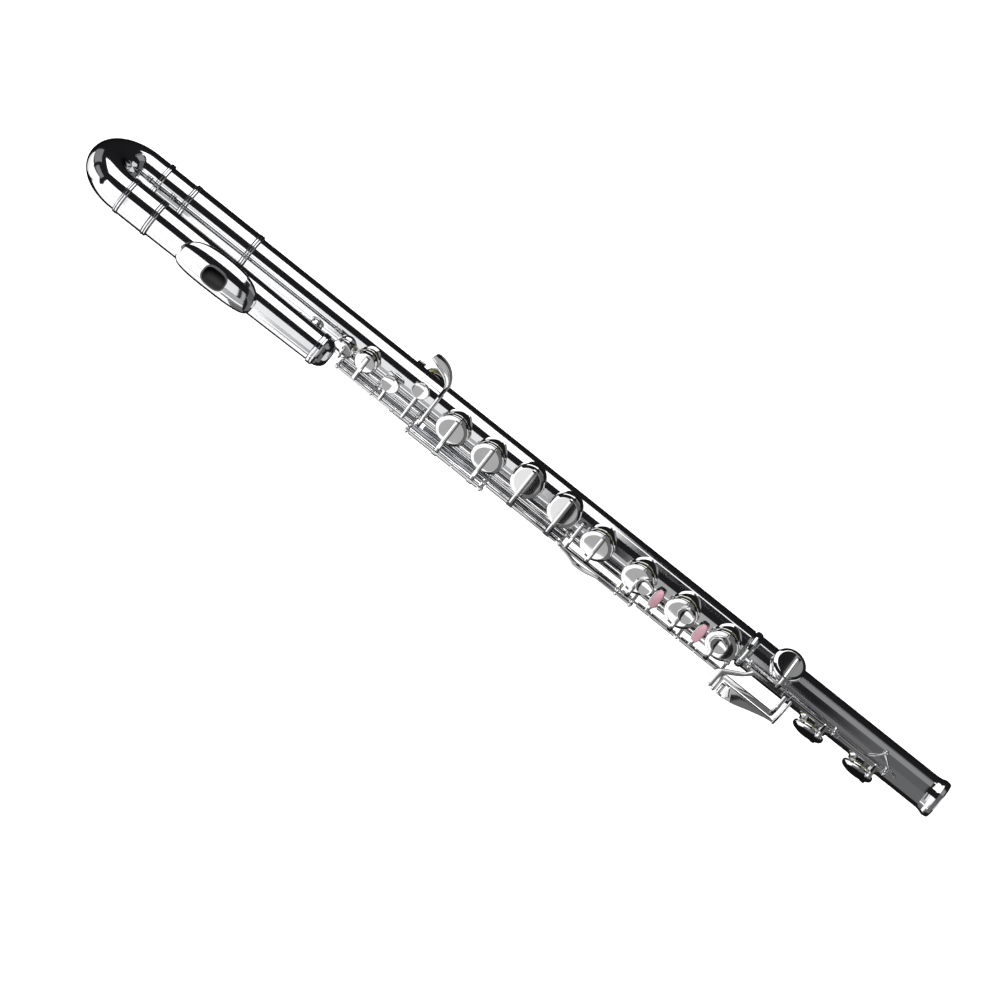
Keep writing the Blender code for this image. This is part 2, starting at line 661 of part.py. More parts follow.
def make_right_hand():
    lift = math.degrees(OPEN_LIFT / 17.8)
    rows = (("f_sharp", (-302.2, -257.9), 10.0, None), ("f", (-253.2, -245.2), 2.0, (-243.4, 0.6)),
            ("e", (-228.2, -207.6), 2.0, (-209.8, 3.4)), ("d", (-190.4, -170.0), 2.0, (-180.6, 1.2)))
    for name, span, tip, plate in rows:
        empty = pivot("key_" + name, MAIN_ROD, lift)
        x, angle, radius = HOLES[name]
        arm_x = x + 1.0 if name != "d" else x - 3.0
        pieces = [cup(x, angle, CUP_R), arm(arm_x, MAIN_ROD, angle, tip=tip)]
        if name == "f_sharp":
            pieces.append(outline_plate([(-18.4, 15.2), (-17.4, 16.4), (-11.0, 18.4), (5.6, 18.6),
                                         (6.4, 17.2), (-10.6, 16.8)], 2.4, origin=(-300.8, 0, 0)))
        if plate:
            pieces.append(disc(plate[0], plate[1], 20.9, 6.3, 3.2))
        key_node("key_" + name, "silver", MAIN_ROD, span, pieces, empty)
        node("pad_" + name, pad(x, angle, CUP_R), "pad", empty)
    node("steel_right_hand", shaft([(-305.2, STEEL_R), (-166.4, STEEL_R)], MAIN_ROD), "steel")

    # side lever for B flat, on its own pivots
    empty = pivot("lever_side_b_flat", SIDE_ROD)
    outline = [(-270.0, -21.4), (-270.0, -23.4), (-279.0, -25.6), (-290.0, -26.0),
               (-297.0, -23.6), (-305.0, -21.8), (-305.0, -20.4), (-296.0, -21.6),
               (-288.0, -23.2), (-279.0, -22.6)]
    touch = outline_plate(outline, 1.8, origin=(0, 0, 12.2), u=(1, 0, 0), v=(0, 1, 0))
    body = union(necked_shaft(-271.0, -244.9, 1.4, SIDE_POSTS, SIDE_ROD), touch)
    node("lever_side_b_flat", body, "silver", empty)


# ---- posts ----
def plate_post(x, route, width=5.0):
    """A post across the tube: a plate along a route of (y, z) points, past its last rod."""
    last = Vector(route[-1])
    end = last + (last - Vector(route[-2])).normalized() * width / 2
    return outline_plate(bar(route[:-1] + [tuple(end)], width), POST_WIDTH, origin=(x, 0, 0))


def strap(x0, x1, angle0, angle1, radius=TUBE_R):
    """A curved strap on a tube's outside, on which the posts stand."""
    steps = 4
    angles = [angle0 + (angle1 - angle0) * i / steps for i in range(steps + 1)]
    inner = [polar(radius + 0.35, angle) for angle in angles]
    outer = [polar(radius + 1.2, angle) for angle in angles]
    return outline_plate(inner + outer[::-1], x1 - x0, origin=((x0 + x1) / 2, 0, 0))


def line_bore(x0, x1, rod, radius=HINGE_BORE_R, sides=ROD_SIDES):
    return cylinder((x0, rod[0], rod[1]), (x1, rod[0], rod[1]), radius, sides)


def make_posts():
    """The rib on the rod side: its posts carry the trill, main and outer rods in one line."""
    foot = (-14.6, 5.0)
    base = strap(-538.5, -166.6, -60.0, -84.0)
    for x in POSTS:
        top = TRILL_ROD
        if x != POSTS[0]:
            top = OUTER_ROD if x in OUTER_POSTS else MAIN_ROD
        union(base, plate_post(x, [foot, TRILL_ROD, top] if top != TRILL_ROD else [foot, top]))
        if x in SIDE_POSTS:
            union(base, plate_post(x, [MAIN_ROD, SIDE_ROD], 3.6))
        if x in SHARP_POSTS:
            union(base, plate_post(x, [polar(13.2, -77.0), SHARP_ROD], 4.0))
    cut(base, line_bore(-534.0, -200.0, TRILL_ROD, TRILL_BORE_R, 8))
    cut(base, line_bore(-545.0, -534.5, TRILL_ROD))
    cut(base, line_bore(-199.0, -160.0, TRILL_ROD))
    cut(base, line_bore(-510.0, -160.0, MAIN_ROD))
    cut(base, line_bore(-440.0, -360.0, OUTER_ROD))
    cut(base, line_bore(-275.0, -242.6, SIDE_ROD))
    cut(base, line_bore(-440.0, -300.0, SHARP_ROD))
    node("post_rib", base, "silver")

    base = strap(-459.6, -417.0, -130.0, -108.0)
    for x in THUMB_POSTS:
        union(base, plate_post(x, [(-13.2, -7.6), THUMB_ROD], 4.6))
    cut(base, line_bore(-465.0, -410.0, THUMB_ROD))
    node("thumb_rib", base, "silver")


# ---- foot joint ----
# A foot key's arm in its cup's own plane: up from the rod at the left and over the cup
FOOT_ARM = [(-16.2, 8.8), (-16.0, 16.0), (-11.6, 19.4), (6.0, 19.4), (8.4, 18.4), (6.0, 17.6),
            (-11.0, 17.2), (-13.2, 14.6), (-13.4, 8.8)]


# The E flat touch rises outwards, over the body's last post
SPATULA_SLOPE = (0.0, math.cos(math.radians(13.0)), -math.sin(math.radians(13.0)))


def make_foot():
    foot = pivot("foot_turn", (0, 0), x=FOOT_SOCKET_X[0])
    low, high = FOOT_SOCKET_X
    outside = [(low, RING_R - 0.4), (low + 3.0, RING_R - 0.4), (low + 3.4, FOOT_R),
               (-8.0, FOOT_R - 0.3), (-3.0, RING_R - 0.6), (0.0, RING_R - 0.6)]
    hollow = [(low - 1, SOCKET_R), (high, SOCKET_R), (high + 0.1, BORE_R), (1.0, BORE_R)]
    node("foot_tube", drilled_tube(outside, hollow, FOOT_HOLES), "silver", foot)
    base = strap(-160.5, -34.0, 1.0, 6.6, FOOT_R)
    for x in FOOT_POSTS:
        union(base, plate_post(x, [(0.3, FOOT_R + 0.5), FOOT_ROD], 4.6))
    cut(base, line_bore(-170.0, -30.0, FOOT_ROD))
    node("foot_rib", base, "silver", foot)

    x, angle, radius = FOOT_HOLES["e_flat"]
    empty = pivot("key_e_flat", FOOT_ROD)
    reach = outline_plate(turn_points(FOOT_ARM, angle), ARM_WIDTH, origin=(x + 3.0, 0, 0))
    spatula = outline_plate([(-150.4, 0.8), (-146.4, 0.8), (-151.0, -4.5), (-156.0, -9.2),
                             (-162.5, -13.2), (-166.6, -15.6), (-166.9, -27.0), (-168.6, -28.4),
                             (-171.4, -26.0), (-173.0, -21.5), (-172.6, -17.0), (-170.4, -13.6),
                             (-164.5, -10.2), (-158.5, -6.8), (-154.2, -4.2), (-152.4, -0.5)], 1.7,
                            origin=(0, 0, 17.6), u=(1, 0, 0), v=SPATULA_SLOPE)
    key_node("key_e_flat", "silver", FOOT_ROD, (-154.6, -127.7),
             [cup(x, angle, CUP_R), reach, spatula], empty)
    node("pad_e_flat", pad(x, angle, CUP_R), "pad", empty)

    lift = -math.degrees(OPEN_LIFT / 14.0)
    cup_arm = turn_points([(-y, z) for y, z in FOOT_ARM[::-1]], -54.2)
    x, angle, radius = FOOT_HOLES["c_sharp"]
    empty = pivot("key_c_sharp", FOOT_ROD, lift)
    reach = outline_plate(cup_arm, ARM_WIDTH, origin=(x + 6.6, 0, 0))
    out = outline_plate(bar([(-0.4, 17.6), (-6.0, 18.4), (-15.0, 15.6), (-24.6, TOUCH_Z)], 1.8), 2.2,
                        origin=(-119.8, 0, 0))
    leaf = outline_plate([(-118.8, -24.8), (-120.8, -23.2), (-146.0, -23.2), (-157.0, -23.2),
                          (-157.4, -33.4), (-148.0, -31.6), (-136.0, -26.4)], 1.6,
                         origin=(0, 0, TOUCH_Z), u=(1, 0, 0), v=(0, 1, 0))
    lugs = [outline_plate([(-156.0, y - 0.7), (-156.0, y + 0.7), (-161.6, y + 0.7),
                           (-161.6, y - 0.7)], 1.6, origin=(0, 0, TOUCH_Z), u=(1, 0, 0), v=(0, 1, 0))
            for y in (-23.9, -32.7)]
    pin = cylinder((-160.6, -23.6, TOUCH_Z), (-160.6, -33.0, TOUCH_Z), 0.6)
    key_node("key_c_sharp", "silver", FOOT_ROD, (-121.6, -87.6),
             [cup(x, angle, CUP_R), reach, out, leaf] + lugs + [pin], empty)
    node("pad_c_sharp", pad(x, angle, CUP_R), "pad", empty)
    make_roller("roller_c_sharp", -160.6, -24.9, 6.8, empty)

    x, angle, radius = FOOT_HOLES["low_c"]
    empty = pivot("key_low_c", FOOT_ROD, lift)
    reach = outline_plate(cup_arm, ARM_WIDTH, origin=(x + 7.4, 0, 0))
    key_node("key_low_c", "silver", FOOT_ROD, (-80.6, -43.6),
             [cup(x, angle, CUP_R), reach], empty)
    node("pad_low_c", pad(x, angle, CUP_R), "pad", empty)
    out = outline_plate(bar([(-0.4, 17.6), (-6.0, 18.4), (-13.0, 16.0), (-20.4, TOUCH_Z)], 1.8), 2.2,
                        origin=(-124.6, 0, 0))
    rail = outline_plate([(-123.6, -18.2), (-123.6, -20.6), (-166.0, -20.6), (-166.0, -18.2)], 1.6,
                         origin=(0, 0, TOUCH_Z), u=(1, 0, 0), v=(0, 1, 0))
    pin = cylinder((-164.8, -20.0, TOUCH_Z), (-164.8, -33.2, TOUCH_Z), 0.6)
    cap = cylinder((-164.8, -32.4, TOUCH_Z), (-164.8, -33.4, TOUCH_Z), 1.3)
    key_node("lever_low_c", "silver", FOOT_ROD, (-127.2, -122.1), [out, rail, pin, cap], empty)
    make_roller("roller_low_c", -164.8, -21.2, 10.8, empty)
    node("steel_foot", shaft([(-157.6, STEEL_R), (-39.6, STEEL_R)], FOOT_ROD), "steel", empty)


def make_roller(name, x, y, length, parent):
    """A touch roller on its pin; it follows its key and spins about its own axis."""
    profile = [(1.0, length), (1.8, length - 0.5), (1.8, 0.5), (1.0, 0.0)]
    made = turned((x, y, TOUCH_Z), (0, -1, 0), profile, 10, closed=True)
    node(name, made, "silver", parent)


def make_all():
    make_body()
    make_bend()
    make_head()
    make_left_hand()
    make_g_sharp()
    make_thumb()
    make_trills()
    make_right_hand()
    make_posts()
    make_foot()


make_all()
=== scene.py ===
"""Looks of an alto flute with a curved head joint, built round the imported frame.

Lengths are in millimetres in the frame's own axes: +X from the curved bend to the foot's open
end, +Z the way the key cups face, -Y the side of the hinge rods.
"""

import math

import bmesh
import bpy
from mathutils import Matrix, Vector


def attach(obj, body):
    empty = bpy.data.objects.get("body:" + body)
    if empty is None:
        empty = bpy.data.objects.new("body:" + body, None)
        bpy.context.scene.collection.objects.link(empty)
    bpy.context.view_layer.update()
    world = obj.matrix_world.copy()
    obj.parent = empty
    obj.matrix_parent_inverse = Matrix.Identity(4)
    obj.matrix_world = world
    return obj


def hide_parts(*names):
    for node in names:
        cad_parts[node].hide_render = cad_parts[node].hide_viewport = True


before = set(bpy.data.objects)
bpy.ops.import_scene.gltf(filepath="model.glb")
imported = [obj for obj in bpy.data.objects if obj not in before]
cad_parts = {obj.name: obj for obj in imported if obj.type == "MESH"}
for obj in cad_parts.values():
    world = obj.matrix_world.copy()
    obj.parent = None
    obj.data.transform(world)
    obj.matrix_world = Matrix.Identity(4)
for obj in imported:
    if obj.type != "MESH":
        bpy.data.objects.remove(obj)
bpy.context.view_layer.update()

MM = 0.001

# ---- dimensions shared with the frame (mm) ----
TUBE_R = 12.5
BORE_R = 12.0
FOOT_R = 12.8
SLEEVE_R = 13.5
RING_R = 13.9
BEND_R = 13.0
HEAD_Z = 45.0
CROWN_R = 10.85
HEAD_TURN = 6.0
BEND_X = -676.4
BARREL_X = (-643.1, -586.5)
SLIDE_X = (-665.8, -610.5)
RECEIVER_X = (-674.3, -647.2)
HEAD_X = (-671.5, -513.2)
LIP_X = -592.4
CROWN_X = (-512.7, -500.7)
RIM_H = 14.4
SEAT = 14.65             # height of a closed pad's face above the tube's axis
OPEN_LIFT = 2.0
CUP_R = 12.0
HOLE_R = 10.25
HINGE_R = 1.85
TRILL_TUBE_R = 1.6
STEEL_R = 0.8
POST_ANGLE = -50.0
TOUCH_Z = 8.6
BALL_R = 2.35
CHIMNEY_WALL = 0.55
CREASE = math.radians(32)
SPRING_SIDE = (-0.6, -0.8)   # the way out from a rod to its spring, as (y, z)


def polar(radius, degrees):
    """(y, z) at a radius from the tube's axis and an angle from +Z towards +Y."""
    angle = math.radians(degrees)
    return (radius * math.sin(angle), radius * math.cos(angle))


TRILL_ROD = polar(16.0, POST_ANGLE)
MAIN_ROD = polar(23.2, POST_ANGLE)
OUTER_ROD = polar(27.8, POST_ANGLE)
SHARP_ROD = polar(16.75, -80.0)
SIDE_ROD = (-22.4, 12.2)
THUMB_ROD = polar(19.5, -135.0)
FOOT_ROD = (0.0, 17.0)
MAIN_REACH = 17.8        # from the main rod across to the middle of a key on the centre line

# X, angle and outside radius of each tone hole's chimney
HOLES = {
    "d_sharp_trill": (-524.0, -24.0, 4.0),
    "d_trill": (-498.8, -15.0, 6.2),
    "c": (-481.5, 0.0, 7.0),
    "thumb_b": (-437.6, 180.0, 9.2),
    "b_flat": (-408.3, 0.0, HOLE_R),
    "a": (-378.4, 0.0, HOLE_R),
    "g_upper": (-347.8, 18.0, HOLE_R),
    "g_lower": (-316.5, 18.0, HOLE_R),
    "g_sharp": (-316.5, -135.0, 8.2),
    "f_sharp": (-285.3, 0.0, HOLE_R),
    "f": (-250.0, 0.0, HOLE_R),
    "e": (-213.5, 0.0, HOLE_R),
    "d": (-178.9, 0.0, HOLE_R),
}
FOOT_HOLES = {
    "e_flat": (-135.7, 61.3, HOLE_R),
    "c_sharp": (-97.8, -54.2, HOLE_R),
    "low_c": (-55.9, -54.2, HOLE_R),
}
POSTS = (-536.9, -495.2, -466.2, -432.3, -369.7, -305.6, -255.4, -243.4, -205.4, -168.4)
(TRILL_POST, C_POST, A_POST, B_FLAT_POST, G_POST, F_SHARP_POST, F_POST, SIDE_POST, E_POST,
 LAST_POST) = POSTS
OUTER_POSTS = (B_FLAT_POST, G_POST)
SIDE_POSTS = (F_POST, SIDE_POST)
SHARP_POSTS = (B_FLAT_POST, F_SHARP_POST)
THUMB_POSTS = (-458.0, -418.6)
FOOT_POSTS = (-156.2, -84.4, -41.8)


# ---- materials ----
def set_inputs(made, **values):
    """Set a shader node's inputs. An underscore stands for a space in an input's name."""
    for name, value in values.items():
        made.inputs[name.replace("_", " ")].default_value = value
    return made


def node(tree, kind, **values):
    return set_inputs(tree.nodes.new("ShaderNode" + kind), **values)


def procedural(name, colour, roughness, metallic, edge=1.0, grain=0.0, mottle=0.06, scale=60.0):
    """A Principled material whose colour and roughness wander, with a fine drawn grain."""
    made = bpy.data.materials.new(name)
    made.use_nodes = True
    tree = made.node_tree
    link = tree.links.new
    shader = set_inputs(tree.nodes["Principled BSDF"], Metallic=metallic,
                        Specular_Tint=(edge, edge, edge, 1.0))
    place = node(tree, "TexCoord")
    cloud = node(tree, "TexNoise", Scale=scale, Detail=4.0)
    link(place.outputs["Object"], cloud.inputs["Vector"])

    low, high = 0.3, 0.7
    shade = node(tree, "MapRange", From_Min=low, From_Max=high, To_Min=1.0 - mottle, To_Max=1.0)
    link(cloud.outputs["Fac"], shade.inputs["Value"])
    tint = node(tree, "VectorMath")
    tint.operation = "SCALE"
    tint.inputs[0].default_value = colour
    link(shade.outputs["Result"], tint.inputs["Scale"])
    link(tint.outputs["Vector"], shader.inputs["Base Color"])

    rough = node(tree, "MapRange", From_Min=low, From_Max=high, To_Min=roughness * 0.7,
                 To_Max=roughness * 1.3)
    link(cloud.outputs["Fac"], rough.inputs["Value"])
    link(rough.outputs["Result"], shader.inputs["Roughness"])
    if grain:
        stretch = node(tree, "Mapping", Scale=(300.0, 2500.0, 2500.0))
        lines = node(tree, "TexNoise", Scale=1.0)
        bump = node(tree, "Bump", Strength=grain, Distance=0.0001)
        link(place.outputs["Object"], stretch.inputs["Vector"])
        link(stretch.outputs["Vector"], lines.inputs["Vector"])
        link(lines.outputs["Fac"], bump.inputs["Height"])
        link(bump.outputs["Normal"], shader.inputs["Normal"])
    return made


SILVER = procedural("polished_silver", (0.93, 0.935, 0.95), 0.07, 1.0, edge=0.35, scale=30.0)
SILVER_KEYS = procedural("polished_keywork", (0.94, 0.94, 0.95), 0.045, 1.0, edge=0.45)
STEEL = procedural("rod_steel", (0.60, 0.62, 0.66), 0.20, 1.0, grain=0.05)
BLUED = procedural("blued_spring", (0.12, 0.14, 0.22), 0.25, 1.0)
# Dark metal for the rods in the gap under the tube: their darkness is painted shade.
GAP_SHADE_METAL = procedural("gap_shade_metal", (0.26, 0.265, 0.28), 0.16, 1.0)
SLEEVE = procedural("dark_sleeve", (0.035, 0.035, 0.04), 0.35, 0.0, mottle=0.3)
SKIN = procedural("pad_skin", (0.42, 0.40, 0.17), 0.55, 0.0, mottle=0.15, scale=220.0, grain=0.2)
CORK = procedural("cork", (0.60, 0.42, 0.25), 0.85, 0.0, mottle=0.4, scale=500.0, grain=0.5)
# Pink for the trill touches: a painted reflection of skin on silver touches.
PINK_REFLECTION = procedural("rose_touch", (0.46, 0.26, 0.30), 0.24, 0.0, mottle=0.25)
# Near-black for painted shade in the grooves at the sleeves' beads.
SHADED = procedural("painted_groove_shade", (0.05, 0.05, 0.055), 0.4, 0.6, mottle=0.3)
# Dark grey for painted shade inside the mouth hole's riser and on a sheet in the head's bore.
INNER_SHADE = procedural("painted_inner_shade", (0.13, 0.13, 0.135), 0.45, 0.7, mottle=0.2)

FINISH_SLOTS = {
    "silver": (SILVER, "silver_plate"),
    "hollow": (INNER_SHADE, "silver_plate"),
    "keys": (SILVER_KEYS, "silver_plate"),
    "steel": (STEEL, "rod_steel"),
    "pad": (SKIN, "pad_skin"),
    "cork": (CORK, "cork"),
    "rose": (PINK_REFLECTION, "rose_plate"),
    "groove_shade": (SHADED, "silver_plate"),
    "sleeve": (SLEEVE, "silver_plate"),
    "gap_shade_metal": (GAP_SHADE_METAL, "rod_steel"),
    "spring": (BLUED, "rod_steel"),
}


# ---- flat outlines ----
def fillet(points, radius, closed):
    """Round a polyline's corners. A short side gets a smaller radius."""
    steps = 3
    nearly_straight = math.radians(172)
    rounded = []
    count = len(points)
    for i, point in enumerate(points):
        here = Vector(point)
        if not closed and i in (0, count - 1):
            rounded.append(tuple(here))
            continue
        back = Vector(points[i - 1]) - here
        ahead = Vector(points[(i + 1) % count]) - here
        reach = min(radius, back.length * 0.45, ahead.length * 0.45)
        if reach < 0.02 or back.angle(ahead) > nearly_straight:
            rounded.append(tuple(here))
            continue
        start = here + back.normalized() * reach
        end = here + ahead.normalized() * reach
        for k in range(steps + 1):
            f = k / steps
            rounded.append(tuple(start * (1 - f) ** 2 + here * 2 * f * (1 - f) + end * f * f))
    return rounded


def turn_points(points, angle):
    """Turn (y, z) points about the tube's axis, from +Z towards +Y."""
    return [polar(math.hypot(y, z), math.degrees(math.atan2(y, z)) + angle) for y, z in points]


def signed_power(value, power):
    """A power of a number's size, with its sign kept: squares or sharpens a circle."""
    return math.copysign(abs(value) ** power, value)


# ---- solids: each gives a bmesh in millimetres ----
def face_out(shape):
    bmesh.ops.recalc_face_normals(shape, faces=shape.faces)


def bridge(shape, rows):
    """Join closed rows of points, each to the next, with four-sided faces."""
    sides = len(rows[0])
    for one, two in zip(rows, rows[1:]):
        for k in range(sides):
            after = (k + 1) % sides
            shape.faces.new((one[k], one[after], two[after], two[k]))


def lathe(profile, sides, origin=(0, 0, 0), direction=(1, 0, 0), closed=False, round_by=0.0):
    """A turned shape from (radius, height) points that run down its outer side."""
    if round_by:
        profile = fillet(profile, round_by, closed)
    shape = bmesh.new()
    rings = []
    for radius, height in profile:
        if radius < 1e-6:
            rings.append([shape.verts.new((0, 0, height))] * sides)
            continue
        ring = []
        for k in range(sides):
            angle = 2 * math.pi * k / sides
            spot = (radius * math.cos(angle), radius * math.sin(angle), height)
            ring.append(shape.verts.new(spot))
        rings.append(ring)
    if closed:
        rings.append(rings[0])
    for upper, lower in zip(rings, rings[1:]):
        for k in range(sides):
            corners = []
            for vert in (upper[k], upper[(k + 1) % sides], lower[(k + 1) % sides], lower[k]):
                if vert not in corners:
                    corners.append(vert)
            if len(corners) > 2:
                shape.faces.new(corners)
    face_out(shape)
    turn = Vector(direction).to_track_quat("Z", "Y").to_matrix().to_4x4()
    shape.transform(Matrix.Translation(Vector(origin)) @ turn)
    return shape


def rod(x0, x1, radius, at, sides=28, chamfer=0.25):
    """A round bar or hinge tube along X with eased ends."""
    profile = [(0, x1), (radius - chamfer, x1), (radius, x1 - chamfer), (radius, x0 + chamfer),
               (radius - chamfer, x0), (0, x0)]
    return lathe(profile, sides, (0, at[0], at[1]))


def pipe(profile, sides=112, z=0.0, round_by=0.3):
    """A turned hollow along X from (x, outside radius, inside radius) stations, low X first."""
    outside = [(outer, x) for x, outer, inner in reversed(profile)]
    inside = [(inner, x) for x, outer, inner in profile]
    return lathe(outside + inside, sides, (0, 0, z), closed=True, round_by=round_by)


def peg(start, end, radius, sides=20, round_by=0.3, tip=None):
    """A round bar between two points, its ends eased. Tip is the radius at the far end."""
    span = Vector(end) - Vector(start)
    far = radius if tip is None else tip
    profile = [(0, span.length), (far, span.length), (radius, 0), (0, 0)]
    return lathe(profile, sides, start, span, round_by=min(round_by, radius * 0.5))


def ball(centre, radius, direction=(1, 0, 0), squash=1.0, sides=24):
    profile = []
    for k in range(13):
        angle = math.pi * k / 12
        profile.append((abs(radius * math.sin(angle)), radius * squash * math.cos(angle)))
    profile[0] = (0, radius * squash)
    profile[-1] = (0, -radius * squash)
    return lathe(profile, sides, centre, direction)


def plate(outline, thickness, origin, u=(0, 1, 0), v=(0, 0, 1), round_by=0.5, bevel=0.35):
    """A flat piece from a 2D outline with eased edges, lying in the plane of u and v."""
    shape = bmesh.new()
    points = fillet(outline, round_by, True)
    low = shape.faces.new([shape.verts.new((a, b, -thickness / 2)) for a, b in points])
    extruded = bmesh.ops.extrude_face_region(shape, geom=[low])
    top = [item for item in extruded["geom"] if isinstance(item, bmesh.types.BMVert)]
    bmesh.ops.translate(shape, verts=top, vec=(0, 0, thickness))
    rims = [edge for edge in shape.edges
            if abs(edge.verts[0].co.z - edge.verts[1].co.z) < 1e-6]
    face_out(shape)
    bmesh.ops.bevel(shape, geom=rims, offset=min(bevel, thickness * 0.4), segments=2,
                    affect="EDGES", profile=0.5, clamp_overlap=True)
    axis_u = Vector(u)
    axis_v = Vector(v)
    turn = Matrix((axis_u, axis_v, axis_u.cross(axis_v))).transposed().to_4x4()
    shape.transform(Matrix.Translation(Vector(origin)) @ turn)
    face_out(shape)
    return shape


def smooth_path(points):
    """More points along a path, on a curve through the given ones."""
    steps = 6
    vectors = [Vector(point) for point in points]
    ends = [vectors[0] * 2 - vectors[1]] + vectors + [vectors[-1] * 2 - vectors[-2]]
    made = []
    for i in range(1, len(ends) - 2):
        p0, p1, p2, p3 = ends[i - 1:i + 3]
        for k in range(steps):
            f = k / steps
            made.append(0.5 * (p1 * 2 + (p2 - p0) * f + (p0 * 2 - p1 * 5 + p2 * 4 - p3) * f * f
                               + (p1 * 3 - p0 - p2 * 3 + p3) * f ** 3))
    made.append(vectors[-1])
    return made


def sweep(path, half_u, half_v, up=(0, 0, 1), sides=20, power=2.0):
    """A bar along a path. Half_u is across and half_v along up, each one size or one per point."""
    shape = bmesh.new()
    count = len(path)
    rings = []
    for i, point in enumerate(path):
        ahead = (path[min(i + 1, count - 1)] - path[max(i - 1, 0)]).normalized()
        side = ahead.cross(Vector(up)).normalized()
        lift = side.cross(ahead).normalized()
        a = half_u if isinstance(half_u, float) else half_u[i]
        b = half_v if isinstance(half_v, float) else half_v[i]
        ring = []
        for k in range(sides):
            angle = 2 * math.pi * k / sides
            c = signed_power(math.cos(angle), 2 / power)
            s = signed_power(math.sin(angle), 2 / power)
            ring.append(shape.verts.new(point + side * a * c + lift * b * s))
        rings.append(ring)
    bridge(shape, rings)
    shape.faces.new(rings[0][::-1])
    shape.faces.new(rings[-1])
    face_out(shape)
    return shape


def oval_plug(centre, direction, half_x, half_across, length, round_by=0.0, squareness=0.82):
    """An oval cylinder whose long way is along X."""
    profile = [(0, length), (1, length), (1, 0), (0, 0)]
    if round_by:
        profile = [(0, length), (0.75, length), (0.93, length - round_by * 0.4),
                   (1, length - round_by), (1, 0), (0, 0)]
    shape = lathe(profile, 64, (0, 0, 0), (0, 0, 1))
    for vert in shape.verts:
        reach = math.hypot(vert.co.x, vert.co.y)
        if reach > 1e-6:
            vert.co.x, vert.co.y = [reach * signed_power(value / reach, squareness)
                                    for value in (vert.co.x, vert.co.y)]
    axis = Vector(direction).normalized()
    across = axis.cross(Vector((1, 0, 0)))
    turn = Matrix((Vector((half_x, 0, 0)), across * half_across, axis)).transposed().to_4x4()
    shape.transform(Matrix.Translation(Vector(centre)) @ turn)
    return shape


# ---- pieces ----
def add_object(name, data):
    made = bpy.data.objects.new(name, data)
    bpy.context.scene.collection.objects.link(made)
    return made


def opened(rod_at, degrees):
    """The turn that stands a key open about its rod."""
    place = Matrix.Translation(Vector((0, rod_at[0], rod_at[1])))
    return place @ Matrix.Rotation(math.radians(degrees), 4, "X") @ place.inverted()


def standing_open(rod_at, reach):
    """The turn that lifts a pad by OPEN_LIFT. Reach is its distance across from the rod."""
    return opened(rod_at, math.degrees(OPEN_LIFT / reach))


def loose(name, shapes):
    """One mesh object from several solids, in metres."""
    whole = bmesh.new()
    for shape in shapes:
        carried = bpy.data.meshes.new("carried")
        shape.to_mesh(carried)
        shape.free()
        whole.from_mesh(carried)
        bpy.data.meshes.remove(carried)
    whole.transform(Matrix.Scale(MM, 4))
    mesh = bpy.data.meshes.new(name)
    whole.to_mesh(mesh)
    whole.free()
    return add_object(name, mesh)


def cut_with(made, cutters):
    """Cut the joined cutters out of a piece and keep the result as plain mesh."""
    tool = loose("cutter", cutters)
    step = made.modifiers.new("cut", "BOOLEAN")
    step.operation = "DIFFERENCE"
    step.solver = "EXACT"
    step.object = tool
    graph = bpy.context.evaluated_depsgraph_get()
    mesh = bpy.data.meshes.new_from_object(made.evaluated_get(graph))
    made.modifiers.clear()
    made.data = mesh
    bpy.data.objects.remove(tool)


def shade(made):
    """Smooth shading with creases kept at steep edges."""
    shape = bmesh.new()
    shape.from_mesh(made.data)
    for face in shape.faces:
        face.smooth = True
    for edge in shape.edges:
        if len(edge.link_faces) == 2 and edge.calc_face_angle(0.0) > CREASE:
            edge.smooth = False
    shape.to_mesh(made.data)
    shape.free()


def turn_mesh(made, turn):
    """Turn a finished mesh by a turn given in millimetres."""
    scale = Matrix.Scale(MM, 4)
    made.data.transform(scale @ turn @ scale.inverted())


def extra(name, body, finish, shapes, turn=None, cutters=None):
    """Make a visible piece that rides on a body and stands for no CAD node."""
    material, slot = FINISH_SLOTS[finish]
    made = loose("look_" + name, shapes)
    if cutters:
        cut_with(made, cutters)
    if turn is not None:
        turn_mesh(made, turn)
    shade(made)
    made.data.materials.clear()
    made.data.materials.append(material)
    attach(made, body)
    return made


def piece(name, body, finish, shapes, turn=None, cutters=None):
    """Make a visible piece that stands for the CAD node of the same name."""
    made = extra(name, body, finish, shapes, turn, cutters)
    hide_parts(name)
    return made


# ---- tubes ----
def chimney(x, angle, radius, tube_radius):
    """A drawn tone hole: a fillet off the tube, a straight wall and a rolled rim."""
    sides = 64
    shape = bmesh.new()
    rows = []
    sections = ((radius + 1.3, None, -0.02), (radius + 0.5, None, 0.3), (radius, None, 1.0),
                (radius, RIM_H - 0.5, 0), (radius + 0.3, RIM_H - 0.25, 0), (radius + 0.1, RIM_H, 0),
                (radius - 0.4, RIM_H, 0), (radius - CHIMNEY_WALL, RIM_H - 0.3, 0),
                (radius - CHIMNEY_WALL, None, -0.4))
    for section, height, lift in sections:
        row = []
        for k in range(sides):
            turn = 2 * math.pi * k / sides
            along = section * math.cos(turn)
            across = section * math.sin(turn)
            if height is None:
                z = math.sqrt(max(tube_radius ** 2 - across ** 2, 1.0)) + lift
                z = min(z, RIM_H - 0.6)
            else:
                z = height
            row.append(shape.verts.new((along, across, z)))
        rows.append(row)
    bridge(shape, rows)
    face_out(shape)
    shape.transform(Matrix.Translation(Vector((x, 0, 0)))
                    @ Matrix.Rotation(math.radians(-angle), 4, "X"))
    return shape


